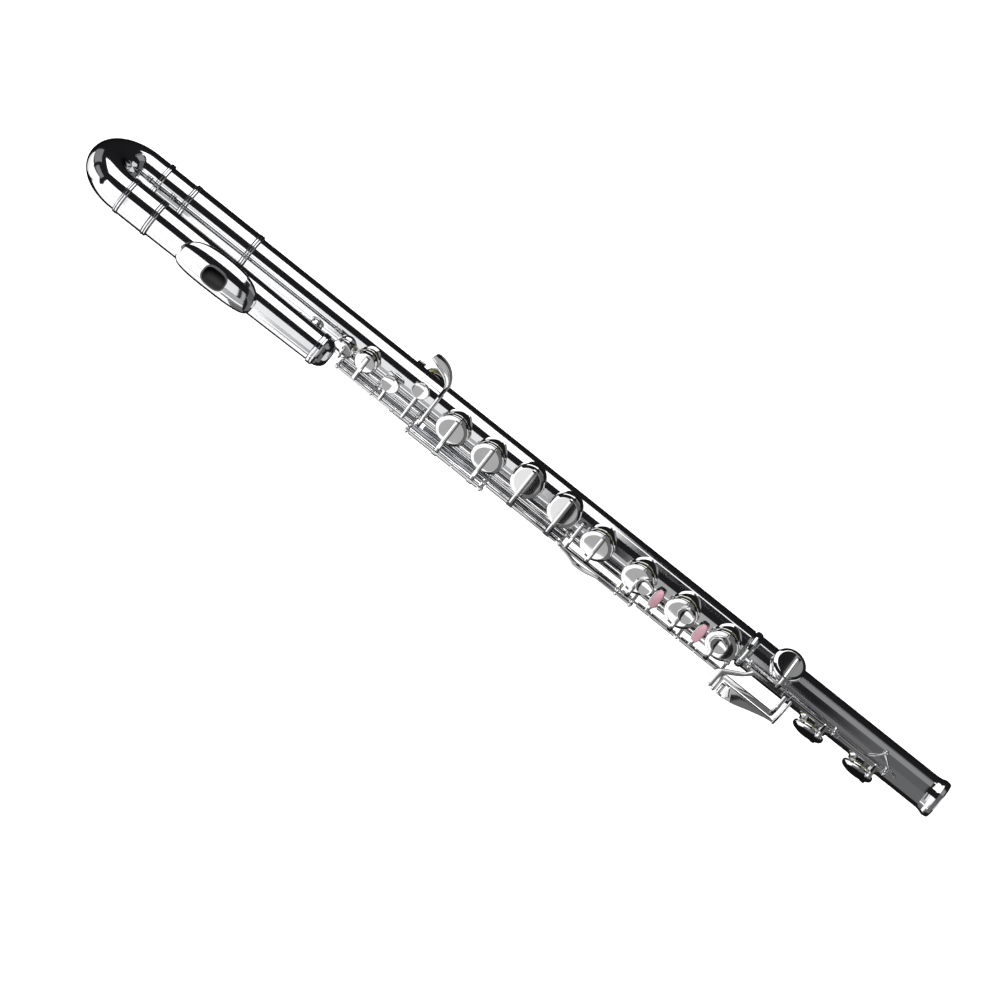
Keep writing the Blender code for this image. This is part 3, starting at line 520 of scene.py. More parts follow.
def holed(tube, holes, tube_radius):
    """A tube with its tone holes cut through it, and the chimneys round them."""
    cutters = []
    for x, angle, radius in holes.values():
        y, z = polar(1.0, angle)
        cutters.append(peg((x, y * 5, z * 5), (x, y * 16, z * 16), radius - CHIMNEY_WALL, 64, 0.0))
    made = loose("tube", [tube])
    cut_with(made, cutters)
    shape = bmesh.new()
    shape.from_mesh(made.data)
    shape.transform(Matrix.Scale(1 / MM, 4))
    bpy.data.objects.remove(made)
    return [shape] + [chimney(x, angle, radius, tube_radius) for x, angle, radius in holes.values()]


def ringed(span, z=0.0):
    """A sleeve with a turned double bead at each end."""
    low, high = span
    inner = 12.95
    half = [(0.0, RING_R - 0.5), (0.3, RING_R), (1.2, RING_R), (1.5, SLEEVE_R - 0.1),
            (1.8, RING_R), (2.9, RING_R), (3.3, SLEEVE_R)]
    profile = [(low + step, radius, inner) for step, radius in half]
    profile += [(high - step, radius, inner) for step, radius in reversed(half)]
    return pipe(profile, z=z, round_by=0.25)


def groove_shade_bands(span, z=0.0):
    """Bands of painted shade beside and between the beads at a sleeve's ends, where the grooves
    fall dark.
    """
    low, high = span
    wide = 0.6
    lines = []
    for start, radius in ((low - wide, TUBE_R), (low + 1.2, SLEEVE_R), (low + 3.2, SLEEVE_R),
                          (high - 3.8, SLEEVE_R), (high - 1.8, SLEEVE_R), (high, TUBE_R)):
        band = [(x, radius + 0.22, radius - 0.4) for x in (start, start + wide)]
        lines.append(pipe(band, z=z, round_by=0.0))
    return lines


def make_body():
    profile = [(-604.0, TUBE_R, BORE_R), (-603.0, TUBE_R, BORE_R), (-167.0, TUBE_R, BORE_R),
               (-166.0, TUBE_R, BORE_R), (-165.9, 11.9, 11.4), (-150.0, 11.9, 11.4)]
    piece("body_tube", "body", "silver", holed(pipe(profile, 144, round_by=0.08), HOLES, TUBE_R))
    piece("barrel", "body", "silver", [ringed(BARREL_X)])
    # Painted shade in the grooves at the barrel's beads.
    extra("barrel_groove_shade", "body", "groove_shade", groove_shade_bands(BARREL_X))


def bend_sweep(radius, reach):
    centre = HEAD_Z / 2
    path = [Vector((SLIDE_X[0] - 0.3 + reach, 0, 0))]
    steps = 48
    for i in range(steps + 1):
        angle = math.radians(-90 - 180 * i / steps)
        path.append(Vector((BEND_X + centre * math.cos(angle), 0,
                            centre + centre * math.sin(angle))))
    path.append(Vector((RECEIVER_X[0] - 0.3 + reach, 0, HEAD_Z)))
    return sweep(path, radius, radius, up=(0, 1, 0), sides=96)


def make_bend():
    piece("u_bend", "bend", "silver", [bend_sweep(BEND_R, 0.0)], cutters=[bend_sweep(12.3, 2.0)])
    piece("bend_receiver", "bend", "silver", [ringed(RECEIVER_X, HEAD_Z)])
    # Painted shade in the grooves at the receiver's beads.
    extra("receiver_groove_shade", "bend", "groove_shade", groove_shade_bands(RECEIVER_X, HEAD_Z))
    low, high = SLIDE_X
    outside = [(low, RING_R - 0.5), (low + 0.3, RING_R), (low + 1.3, RING_R),
               (low + 1.6, RING_R - 0.45), (low + 1.9, RING_R), (low + 3.1, RING_R),
               (low + 3.5, TUBE_R), (high, TUBE_R)]
    profile = [(x, radius, BORE_R) for x, radius in outside]
    piece("tuning_slide", "bend", "silver", [pipe(profile, round_by=0.25)])


# ---- head joint ----
def head_radius(x):
    start = -640.0
    if x < start:
        return TUBE_R
    return TUBE_R - (TUBE_R - CROWN_R) * ((x - start) / (HEAD_X[1] - start)) ** 1.3


def lip_plate_shell():
    """The lip plate: an oval patch that swells over the tube, with a rolled edge."""
    shape = bmesh.new()
    steps_out = 26
    steps_round = 96
    rows = []
    for side in (0, 1):
        order = range(1, steps_out + 1) if side == 0 else range(steps_out, 0, -1)
        for i in order:
            share = i / steps_out
            row = []
            for k in range(steps_round):
                turn = 2 * math.pi * k / steps_round
                power = 0.62 if math.sin(turn) < 0 else 0.94
                u = share * signed_power(math.cos(turn), power)
                v = share * signed_power(math.sin(turn), power)
                swell = math.sqrt(max(0.0, 1 - share ** 2.2))
                x = LIP_X + 0.8 + 31.0 * u
                tip = max(0.0, 1 - abs(v) * 1.4) * max(0.0, u) ** 2
                radius = head_radius(x) + 1.5 + 4.0 * swell + 0.5 * tip - 0.9 * side
                y, z = polar(radius, 72.0 * v)
                row.append(shape.verts.new((x, y, HEAD_Z + z)))
            rows.append(row)
    centre_top = shape.verts.new((LIP_X + 0.8, 0, HEAD_Z + head_radius(LIP_X) + 5.5))
    centre_low = shape.verts.new((LIP_X + 0.8, 0, HEAD_Z + head_radius(LIP_X) + 4.6))
    bridge(shape, rows)
    for k in range(steps_round):
        after = (k + 1) % steps_round
        shape.faces.new((centre_top, rows[0][after], rows[0][k]))
        shape.faces.new((centre_low, rows[-1][k], rows[-1][after]))
    face_out(shape)
    return shape


def mouth_plug(above, half_x, half_across, length=16.0, up=(0, 0, 1), round_by=0.0):
    """A plug in the mouth hole's shape that starts at a height above the head's axis."""
    return oval_plug((LIP_X, 0, HEAD_Z + above), up, half_x, half_across, length, round_by, 0.68)


def make_head():
    turn = opened((0, HEAD_Z), -HEAD_TURN)
    stations = [HEAD_X[0] + (HEAD_X[1] - HEAD_X[0]) * i / 24 for i in range(25)]
    profile = [(x, head_radius(x), head_radius(x) - 0.5) for x in stations]
    up = (0, 0, 1)
    turned_up = turn.to_3x3() @ Vector(up)
    piece("head_tube", "head", "silver", [pipe(profile, 120, z=HEAD_Z, round_by=0.0)], turn,
          [oval_plug((LIP_X, 0, HEAD_Z + 5), up, 9.6, 7.9, 12.0)])
    riser = mouth_plug(6.0, 9.2, 7.4, 11.3, round_by=0.5)
    bored = mouth_plug(4.0, 8.3, 6.4)
    hollow = peg((LIP_X - 30, 0, HEAD_Z), (LIP_X + 30, 0, HEAD_Z), 11.0, 96, 0.0)
    # The riser's inner wall is coloured dark grey as painted shade.
    made = piece("embouchure_riser", "head", "hollow", [riser], None, [bored])
    cut_with(made, [hollow])
    turn_mesh(made, turn)
    shade(made)
    # A thin sheet just inside the head tube round the mouth hole, coloured dark as painted shade
    # over the bright bore.
    bore_shade_span = [(LIP_X - 18.0, head_radius(LIP_X) - 0.7, head_radius(LIP_X) - 1.0),
              (LIP_X + 18.0, head_radius(LIP_X) - 0.9, head_radius(LIP_X) - 1.2)]
    bore_shade_piece = extra("bore_shade_sheet", "head", "hollow", [pipe(bore_shade_span, 96, z=HEAD_Z, round_by=0.0)])
    cut_with(bore_shade_piece, [mouth_plug(4.0, 8.4, 6.6, up=turned_up)])
    piece("lip_plate", "head", "silver", [lip_plate_shell()], turn, [mouth_plug(6.0, 9.25, 7.45)])

    low, high = CROWN_X
    profile = [(0.0, high), (5.6, high), (6.4, high - 0.3), (8.2, high - 1.6), (9.6, high - 3.4),
               (10.5, high - 5.6), (10.7, high - 7.2), (11.2, high - 7.4), (11.9, high - 7.9),
               (11.9, high - 9.0), (11.5, high - 9.3), (11.9, high - 9.6), (11.9, low + 0.3),
               (11.5, low), (10.2, low), (9.9, low - 4.0), (2.0, low - 4.0), (2.0, low + 4.0),
               (0.0, low + 4.0)]
    piece("crown", "crown", "silver", [lathe(profile, 96, (0, 0, HEAD_Z), round_by=0.25)])
    face = LIP_X + 25.0
    screw = [(0.0, low - 2.0), (1.6, low - 2.0), (1.6, face + 1.0), (10.4, face + 1.0),
             (10.4, face), (0.0, face)]
    piece("stopper_screw", "stopper", "steel", [lathe(screw, 40, (0, 0, HEAD_Z), round_by=0.2)])
    piece("stopper_cork", "stopper", "cork",
          [pipe([(face + 1.4, 10.8, 2.0), (face + 16.0, 10.5, 2.0)], 40, z=HEAD_Z)])


# ---- key pieces ----
def cup(x, angle, radius=CUP_R):
    """A key cup in its closed place: a nearly flat crown, a bevelled shoulder and a thin skirt."""
    y, z = polar(SEAT, angle)
    flat = radius - 2.9 if radius > 10 else radius - 1.9
    profile = [(0.0, 4.02), (flat * 0.5, 3.99), (flat, 3.9), (flat + 0.45, 3.82),
               (radius - 0.55, 2.95), (radius, 2.3), (radius, 0.5), (radius - 0.6, 0.5),
               (radius - 0.6, 2.2), (0.0, 2.2)]
    return lathe(profile, 96, (x, y, z), (0, y, z), round_by=0.3)


def pad(x, angle, radius):
    y, z = polar(SEAT, angle)
    profile = [(0.0, 1.9), (radius - 0.8, 1.9), (radius - 0.8, 0.25), (radius - 1.1, 0.0),
               (0.0, 0.0)]
    return lathe(profile, 72, (x, y, z), (0, y, z), round_by=0.3)


def key_pad(name, body, x, angle, radius, turn=None):
    """The pad piece in a key's cup."""
    piece("pad_" + name, body, "pad", [pad(x, angle, radius)], turn)


def arm(x, rod_at, angle, cup_radius=CUP_R, tip=10.0, width=3.3, low=17.4):
    """A key arm: up from its rod and over the cup's top, tapering to its tip."""
    over = turn_points([(-cup_radius + 0.5, 19.9), (tip - 1.6, 19.9), (tip + 0.4, 18.6),
                        (tip - 1.5, 17.8), (-cup_radius + 0.5, low)], angle)
    near = [(rod_at[0] - 0.6, rod_at[1] - 1.2), (rod_at[0] - 0.4, rod_at[1] + 1.5)]
    return plate([near[1]] + over + [near[0]], width, (x, 0, 0), round_by=0.9, bevel=1.15)


def disc(x, y, z, radius, thickness):
    """A round finger plate, slightly dished, whose top is at z."""
    profile = [(0, thickness - 0.35), (radius * 0.6, thickness - 0.25),
               (radius - 0.9, thickness - 0.1), (radius - 0.4, thickness),
               (radius, thickness - 0.4), (radius, 0.3), (radius - 0.3, 0), (0, 0)]
    return lathe(profile, 72, (x, y, z - thickness), (0, 0, 1), round_by=0.25)


def stepped(stations, rod_at):
    """A bar along X of changing radius from (x, radius) stations, low X first."""
    points = [(radius, x) for x, radius in reversed(stations)]
    points = [(0, points[0][1])] + points + [(0, points[-1][1])]
    return lathe(points, 24, (0,) + rod_at)


def tube_of(span, rod_at):
    radius = TRILL_TUBE_R if rod_at == TRILL_ROD else HINGE_R
    return rod(span[0], span[1], radius, rod_at)


def beside(x, rod_at, away):
    """A point on a rod's spring side, at a distance from its axis."""
    return (x, rod_at[0] + SPRING_SIDE[0] * away, rod_at[1] + SPRING_SIDE[1] * away)


def spring_catch(x, rod_at):
    """The little hook on a hinge tube that a needle spring rests in."""
    return peg(beside(x, rod_at, 1.2), beside(x, rod_at, 3.0), 0.5, 12, 0.15)


def make_left_hand():
    c_turn = standing_open(MAIN_ROD, MAIN_REACH)
    x, angle = HOLES["c"][:2]
    piece("key_c", "c_key", "keys",
          [tube_of((-493.6, -467.8), MAIN_ROD), cup(x, angle, 8.6),
           arm(x, MAIN_ROD, angle, 8.6, 5.5), spring_catch(-475.0, MAIN_ROD)], c_turn)
    key_pad("c", "c_key", x, angle, 8.6, c_turn)

    plate_x = -459.5
    reach = plate([(-18.0, 13.6), (-18.0, 16.6), (-7.0, 19.5), (-1.0, 19.5), (-1.0, 18.0),
                   (-7.0, 18.0), (-14.0, 15.2)], 2.6, (plate_x, 0, 0), bevel=0.6)
    link = plate([(MAIN_ROD[0], 15.6), (MAIN_ROD[0], 13.8), (-20.6, 11.4), (-22.2, 11.4),
                  (-22.2, 12.8), (-20.2, 14.6)], 2.4, (-449.0, 0, 0))
    runner = rod(-450.0, -391.0, 0.9, (-21.4, 12.1), 16, 0.2)
    adjuster = [ball((-463.0, -7.5, 19.6), 1.5, (0, 0, 1), 0.7),
                peg((-463.0, -7.5, 18.4), (-459.5, -7.0, 18.6), 0.8, 16)]
    piece("lever_a", "a_lever", "keys",
          [tube_of((-464.6, -447.6), MAIN_ROD), disc(plate_x, 0.0, 20.3, 6.6, 2.2), reach, link,
           runner] + adjuster, c_turn)

    outer_turn = standing_open(OUTER_ROD, 21.3)
    for name, body, span, at_x in (("b_flat", "b_flat_key", (-430.7, -394.2), -428.9),
                                   ("a", "a_key", (-393.7, -371.9), -392.4)):
        x, angle = HOLES[name][:2]
        tab = plate([(-22.0, 18.4), (-20.4, 18.4), (-22.0, 14.9), (-23.2, 14.9)], 1.8, (at_x, 0, 0))
        collar = rod(x - 2.1, x + 2.1, 2.5, OUTER_ROD, 28, 0.6)
        piece("key_" + name, body, "keys",
              [tube_of(span, OUTER_ROD), cup(x, angle), arm(x, OUTER_ROD, angle), tab, collar,
               spring_catch(x + 4.5, OUTER_ROD)], outer_turn)
        key_pad(name, body, x, angle, CUP_R, outer_turn)

    g_turn = standing_open(MAIN_ROD, 23.2)
    reach = plate([(-18.0, 13.6), (-18.0, 16.6), (-9.0, 19.8), (6.0, 18.8), (8.0, 17.4),
                   (6.0, 17.2), (-8.0, 18.2), (-14.0, 15.4)], 2.4, (-440.2, 0, 0), bevel=0.6)
    piece("lever_g", "g_key", "keys",
          [tube_of((-446.8, -434.0), MAIN_ROD), disc(-440.9, 10.4, 19.6, 6.4, 2.4), reach], g_turn)
    pieces = [tube_of((-367.6, -308.3), MAIN_ROD), spring_catch(-311.5, MAIN_ROD)]
    sleeves = []
    for name in ("g_upper", "g_lower"):
        x, angle = HOLES[name][:2]
        pieces += [cup(x, angle), arm(x, MAIN_ROD, angle, low=17.0)]
        sleeves.append(rod(x - 2.3, x + 2.3, 2.35, MAIN_ROD, 28, 0.3))
        key_pad(name, "g_key", x, angle, CUP_R, g_turn)
    piece("key_g", "g_key", "keys", pieces, g_turn)
    extra("g_sleeves", "g_key", "sleeve", sleeves, g_turn)
    stations = [(-496.5, STEEL_R), (-430.7, STEEL_R), (-430.6, HINGE_R), (-371.8, HINGE_R),
                (-371.7, STEEL_R), (-306.6, STEEL_R)]
    piece("steel_left_hand", "g_key", "steel", [stepped(stations, MAIN_ROD)], g_turn)
    piece("steel_outer", "body", "steel", [rod(-433.4, -367.9, STEEL_R, OUTER_ROD)])


def make_g_sharp():
    x, angle = HOLES["g_sharp"][:2]
    path = [(-16.6, 3.2), (-19.0, 6.4), (-18.2, 10.0), (-15.6, 13.1), (-12.6, 16.3),
            (-4.0, 17.6), (4.0, 17.4), (11.0, 15.4), (15.4, 11.8), (17.6, 9.6)]
    over = sweep(smooth_path([(-428.6, y, z) for y, z in path]), 0.8, 1.35, up=(1, 0, 0), power=2.6)
    centre = [(-428.6, 15.8), (-429.4, 20.0), (-432.6, 24.2), (-437.2, 27.4), (-442.4, 29.6),
              (-447.6, 31.2)]
    line = smooth_path([(px, py, 9.4 - math.sin(i * 0.6)) for i, (px, py) in enumerate(centre)])
    count = len(line)
    widths = [1.4 + 3.3 * math.sin(math.pi * (0.04 + 0.82 * i / (count - 1)) ** 1.5)
              for i in range(count)]
    spoon = sweep(line, widths, 0.9, sides=36)
    hang = plate([(-15.6, 3.4), (-18.2, 3.4), (-20.6, -6.0), (-17.0, -16.0), (-9.0, -17.0),
                  (-10.0, -14.6), (-15.6, -13.4), (-18.4, -6.0)], 2.6, (x, 0, 0), bevel=0.6)
    stations = [(-433.1, STEEL_R), (-430.8, STEEL_R), (-430.7, 1.5), (-307.3, 1.5),
                (-307.2, STEEL_R), (-304.8, STEEL_R)]
    piece("key_g_sharp", "g_sharp_key", "keys",
          [stepped(stations, SHARP_ROD), over, spoon, cup(x, angle, 9.8), hang])
    key_pad("g_sharp", "g_sharp_key", x, angle, 9.8)


def make_thumb():
    turn = standing_open(THUMB_ROD, -13.8)
    x, angle = HOLES["thumb_b"][:2]
    reach = plate([(-13.2, -12.6), (-14.4, -15.0), (-9.5, -19.4), (8.0, -19.4), (8.0, -17.8),
                   (-9.0, -17.4)], 5.0, (x, 0, 0), bevel=0.7)
    piece("key_thumb_b", "thumb_b_key", "keys",
          [tube_of((-446.4, -421.4), THUMB_ROD), cup(x, angle, 10.8), reach], turn)
    key_pad("thumb_b", "thumb_b_key", x, angle, 10.8, turn)
    paddle = plate([(-13.2, -12.6), (-14.4, -15.0), (-9.5, -21.0), (5.0, -21.4), (5.0, -19.8),
                    (-9.0, -19.2)], 6.0, (-453.0, 0, 0), bevel=0.6)
    piece("lever_thumb_b_flat", "thumb_b_flat_lever", "keys",
          [tube_of((-456.2, -449.6), THUMB_ROD), paddle], turn)
    piece("steel_thumb", "body", "steel", [rod(-460.4, -416.2, STEEL_R, THUMB_ROD)])


def make_trills():
    x, angle = HOLES["d_trill"][:2]
    tab = [(-12.9, 10.5), (-11.6, 10.5), (-11.9, 13.2), (-12.9, 13.2)]
    piece("key_d_trill", "d_trill_key", "keys",
          [tube_of((-506.5, -228.4), TRILL_ROD), cup(x, angle, 7.6),
           arm(x, TRILL_ROD, angle, 7.6, 3.5, 2.6), plate(tab, 2.0, (-232.3, 0, 0))])
    key_pad("d_trill", "d_trill_key", x, angle, 7.6)

    x, angle = HOLES["d_sharp_trill"][:2]
    thick = TRILL_TUBE_R
    stations = [(-538.8, STEEL_R), (-534.4, STEEL_R), (-534.3, thick), (-507.1, thick),
                (-507.0, STEEL_R), (-227.8, STEEL_R), (-227.7, thick), (-192.4, thick),
                (-192.3, STEEL_R), (-166.4, STEEL_R)]
    piece("key_d_sharp_trill", "d_sharp_trill_key", "keys",
          [stepped(stations, TRILL_ROD), cup(x, angle, 5.2),
           arm(x, TRILL_ROD, angle, 5.2, 2.5, 2.6), plate(tab, 2.0, (-195.6, 0, 0))])
    key_pad("d_sharp_trill", "d_sharp_trill_key", x, angle, 5.2)

    for name, body, x, span in (("d", "d_trill_lever", -232.1, (-239.9, -228.7)),
                                ("d_sharp", "d_sharp_trill_lever", -195.5, (-202.9, -190.9))):
        reach = plate([(-17.2, 16.4), (-17.2, 13.6), (-14.2, 14.4), (-12.0, 14.8), (2.4, 18.2),
                       (2.6, 19.4), (-12.0, 17.2)], 3.0, (x, 0, 0))
        touch = oval_plug((x, -4.4, 16.4), (0, -0.2, 0.98), 3.2, 8.9, 2.4, round_by=0.9)
        extra("frame_trill_" + name, body, "keys",
              [tube_of(span, MAIN_ROD), reach,
               oval_plug((x, -4.9, 16.0), (0, -0.2, 0.98), 3.5, 9.4, 1.0, round_by=0.2)])
        # The touch's pink colour is a painted reflection of skin.
        piece("lever_trill_" + name, body, "rose", [touch])


def make_right_hand():
    turn = standing_open(MAIN_ROD, MAIN_REACH)
    rows = (("f_sharp", (-302.2, -257.9), 10.0, None),
            ("f", (-253.2, -245.2), 2.0, (-243.4, 0.6)),
            ("e", (-228.2, -207.6), 2.0, (-209.8, 3.4)),
            ("d", (-190.4, -170.0), 2.0, (-180.6, 1.2)))
    for name, span, tip, touch in rows:
        x, angle = HOLES[name][:2]
        arm_x = x - 3.0 if name == "d" else x + 1.0
        pieces = [tube_of(span, MAIN_ROD), cup(x, angle),
                  arm(arm_x, MAIN_ROD, angle, tip=tip), spring_catch(span[0] + 2.0, MAIN_ROD)]
        if name == "f_sharp":
            pieces.append(plate([(-18.4, 15.2), (-17.4, 16.6), (-11.0, 18.8), (6.2, 19.0),
                                 (7.2, 17.2), (-10.6, 16.8)], 2.8, (-300.8, 0, 0),
                                round_by=0.9, bevel=0.7))
        if touch:
            pieces.append(disc(touch[0], touch[1], 20.9, 6.3, 3.2))
        body = name + "_key"
        piece("key_" + name, body, "keys", pieces, turn)
        key_pad(name, body, x, angle, CUP_R, turn)
    piece("steel_right_hand", "body", "steel", [rod(-305.2, -166.4, STEEL_R, MAIN_ROD)])

    centre = [(-269.5, -22.4), (-276.0, -23.4), (-283.0, -24.6), (-290.0, -24.6), (-297.0, -22.6),
              (-305.0, -21.1)]
    line = smooth_path([(px, py, 12.2) for px, py in centre])
    count = len(line)
    widths = [0.9 + 0.9 * math.sin(math.pi * i / (count - 1)) for i in range(count)]
    touch = sweep(line, widths, 0.85, sides=24)
    thick = 1.4
    gap = 1.6                # the rod is thin this far each way from the middle of a post
    stations = [(-271.0, thick), (F_POST - gap, thick), (F_POST - gap + 0.1, STEEL_R),
                (F_POST + gap - 0.1, STEEL_R), (F_POST + gap, thick), (SIDE_POST - gap, thick),
                (SIDE_POST - gap + 0.1, STEEL_R), (-242.6, STEEL_R)]
    piece("lever_side_b_flat", "side_b_flat_lever", "keys", [stepped(stations, SIDE_ROD), touch])


# ---- posts, ribs and springs ----
def strap(x0, x1, angle0, angle1, radius=TUBE_R):
    """A curved strap soldered on a tube's outside."""
    steps = 10
    angles = [angle0 + (angle1 - angle0) * i / steps for i in range(steps + 1)]
    inner = [polar(radius - 0.1, angle) for angle in angles]
    outer = [polar(radius + 1.2, angle) for angle in angles]
    return plate(inner + outer[::-1], x1 - x0, ((x0 + x1) / 2, 0, 0), round_by=0.3, bevel=0.3)


def post(x, route, foot_radius=2.3):
    """A turned pillar from its foot through one ball per rod."""
    points = [Vector((x,) + tuple(place)) for place in route]
    pieces = []
    for i, (start, end) in enumerate(zip(points, points[1:])):
        pieces.append(peg(start, end, 1.2 if i else 1.5, 24, 0.2, tip=1.15))
        pieces.append(ball(end, BALL_R, (1, 0, 0), 0.62, 32))
    if foot_radius:
        foot = points[0]
        way = (points[1] - foot).normalized()
        pieces.append(peg(foot - way * 0.6, foot + way * 0.9, foot_radius, 28, 0.4, tip=1.7))
    return pieces


def pivot_screws(x, rods, facing):
    """Screw heads set in a post's outer face."""
    return [peg((x, y, z), (x + facing * 1.75, y, z), 1.25, 24, 0.15) for y, z in rods]


def needle(x0, x1, rod_at):
    """A needle spring from its post to the catch on a key."""
    return peg(beside(x0, rod_at, 2.2), beside(x1, rod_at, 2.7), 0.26, 8, 0.05, tip=0.14)


def make_posts():
    foot = (-14.6, 5.0)
    shapes = [strap(-538.5, -166.6, -60.0, -84.0)]
    for x in POSTS:
        rods = [TRILL_ROD]
        if x != TRILL_POST:
            rods.append(MAIN_ROD)
        if x in OUTER_POSTS:
            rods.append(OUTER_ROD)
        shapes += post(x, [foot] + rods)
        if x in SIDE_POSTS:
            shapes += post(x, [MAIN_ROD, SIDE_ROD], 0)
        if x in SHARP_POSTS:
            shapes += post(x, [polar(13.2, -77.0), SHARP_ROD], 1.6)
    piece("post_rib", "body", "keys", shapes)
    heads = []
    for x, rods, facing in ((TRILL_POST, [TRILL_ROD], -1), (LAST_POST, [TRILL_ROD, MAIN_ROD], 1),
                            (C_POST, [MAIN_ROD], -1), (B_FLAT_POST, [OUTER_ROD], -1),
                            (G_POST, [OUTER_ROD], 1), (F_SHARP_POST, [SHARP_ROD], 1),
                            (SIDE_POST, [SIDE_ROD], 1)):
        heads += pivot_screws(x, rods, facing)
    extra("pivot_screws", "body", "steel", heads)
    springs = [needle(*row) for row in (
        (A_POST, -475.0, MAIN_ROD), (F_SHARP_POST, -311.5, MAIN_ROD),
        (G_POST, -373.9, OUTER_ROD), (B_FLAT_POST, -403.8, OUTER_ROD),
        (F_SHARP_POST, -300.2, MAIN_ROD), (F_POST, -251.2, MAIN_ROD),
        (SIDE_POST, -226.2, MAIN_ROD), (E_POST, -188.4, MAIN_ROD))]
    # Two dark rods fill the gap between the tube and the main rod; their dark colour is painted
    # shade.
    inner = polar(19.4, -52.0)
    extra("gap_shade_rods", "body", "gap_shade_metal",
          [rod(-496.0, -432.0, 1.6, inner), rod(-424.5, -305.0, 1.6, inner)])
    extra("needle_springs", "body", "spring", springs)

    shapes = [strap(-459.6, -417.0, -130.0, -108.0)]
    for x in THUMB_POSTS:
        shapes += post(x, [(-13.2, -7.6), THUMB_ROD])
    piece("thumb_rib", "body", "keys", shapes)


# ---- foot joint ----
FOOT_ARM = [(-16.2, 8.8), (-16.0, 16.0), (-11.6, 19.4), (6.0, 19.4), (8.4, 18.4), (6.0, 17.6),
            (-11.0, 17.2), (-13.2, 14.6), (-13.4, 8.8)]


def roller(x, y, length):
    """A touch roller with a groove near each end."""
    profile = [(1.0, length), (1.6, length), (1.8, length - 0.4), (1.8, length - 1.2),
               (1.65, length - 1.35), (1.8, length - 1.5), (1.8, 1.5), (1.65, 1.35), (1.8, 1.2),
               (1.8, 0.4), (1.6, 0.0), (1.0, 0.0)]
    return lathe(profile, 40, (x, y, TOUCH_Z), (0, -1, 0), closed=True)


def foot_arm(x, outline):
    return plate(outline, 3.2, (x, 0, 0), round_by=0.9, bevel=0.8)


def touch_pin(x, near, far, radius=0.6, sides=16):
    """A pin along Y in the plane of the foot's touches."""
    return peg((x, near, TOUCH_Z), (x, far, TOUCH_Z), radius, sides)


def touch_plate(outline, thickness, **easing):
    """A flat piece in the plane of the foot's touches, from an (x, y) outline."""
    return plate(outline, thickness, (0, 0, TOUCH_Z), u=(1, 0, 0), v=(0, 1, 0), **easing)


def foot_leaf():
    """The C sharp touch: a pointed leaf that fattens towards its roller."""
    outline = [(-118.8, -24.6), (-121.5, -23.2), (-146.0, -23.2), (-157.0, -23.2),
               (-157.4, -33.4), (-148.0, -32.0), (-136.0, -28.2), (-126.0, -25.4)]
    return touch_plate(outline, 1.7, round_by=1.2, bevel=0.5)


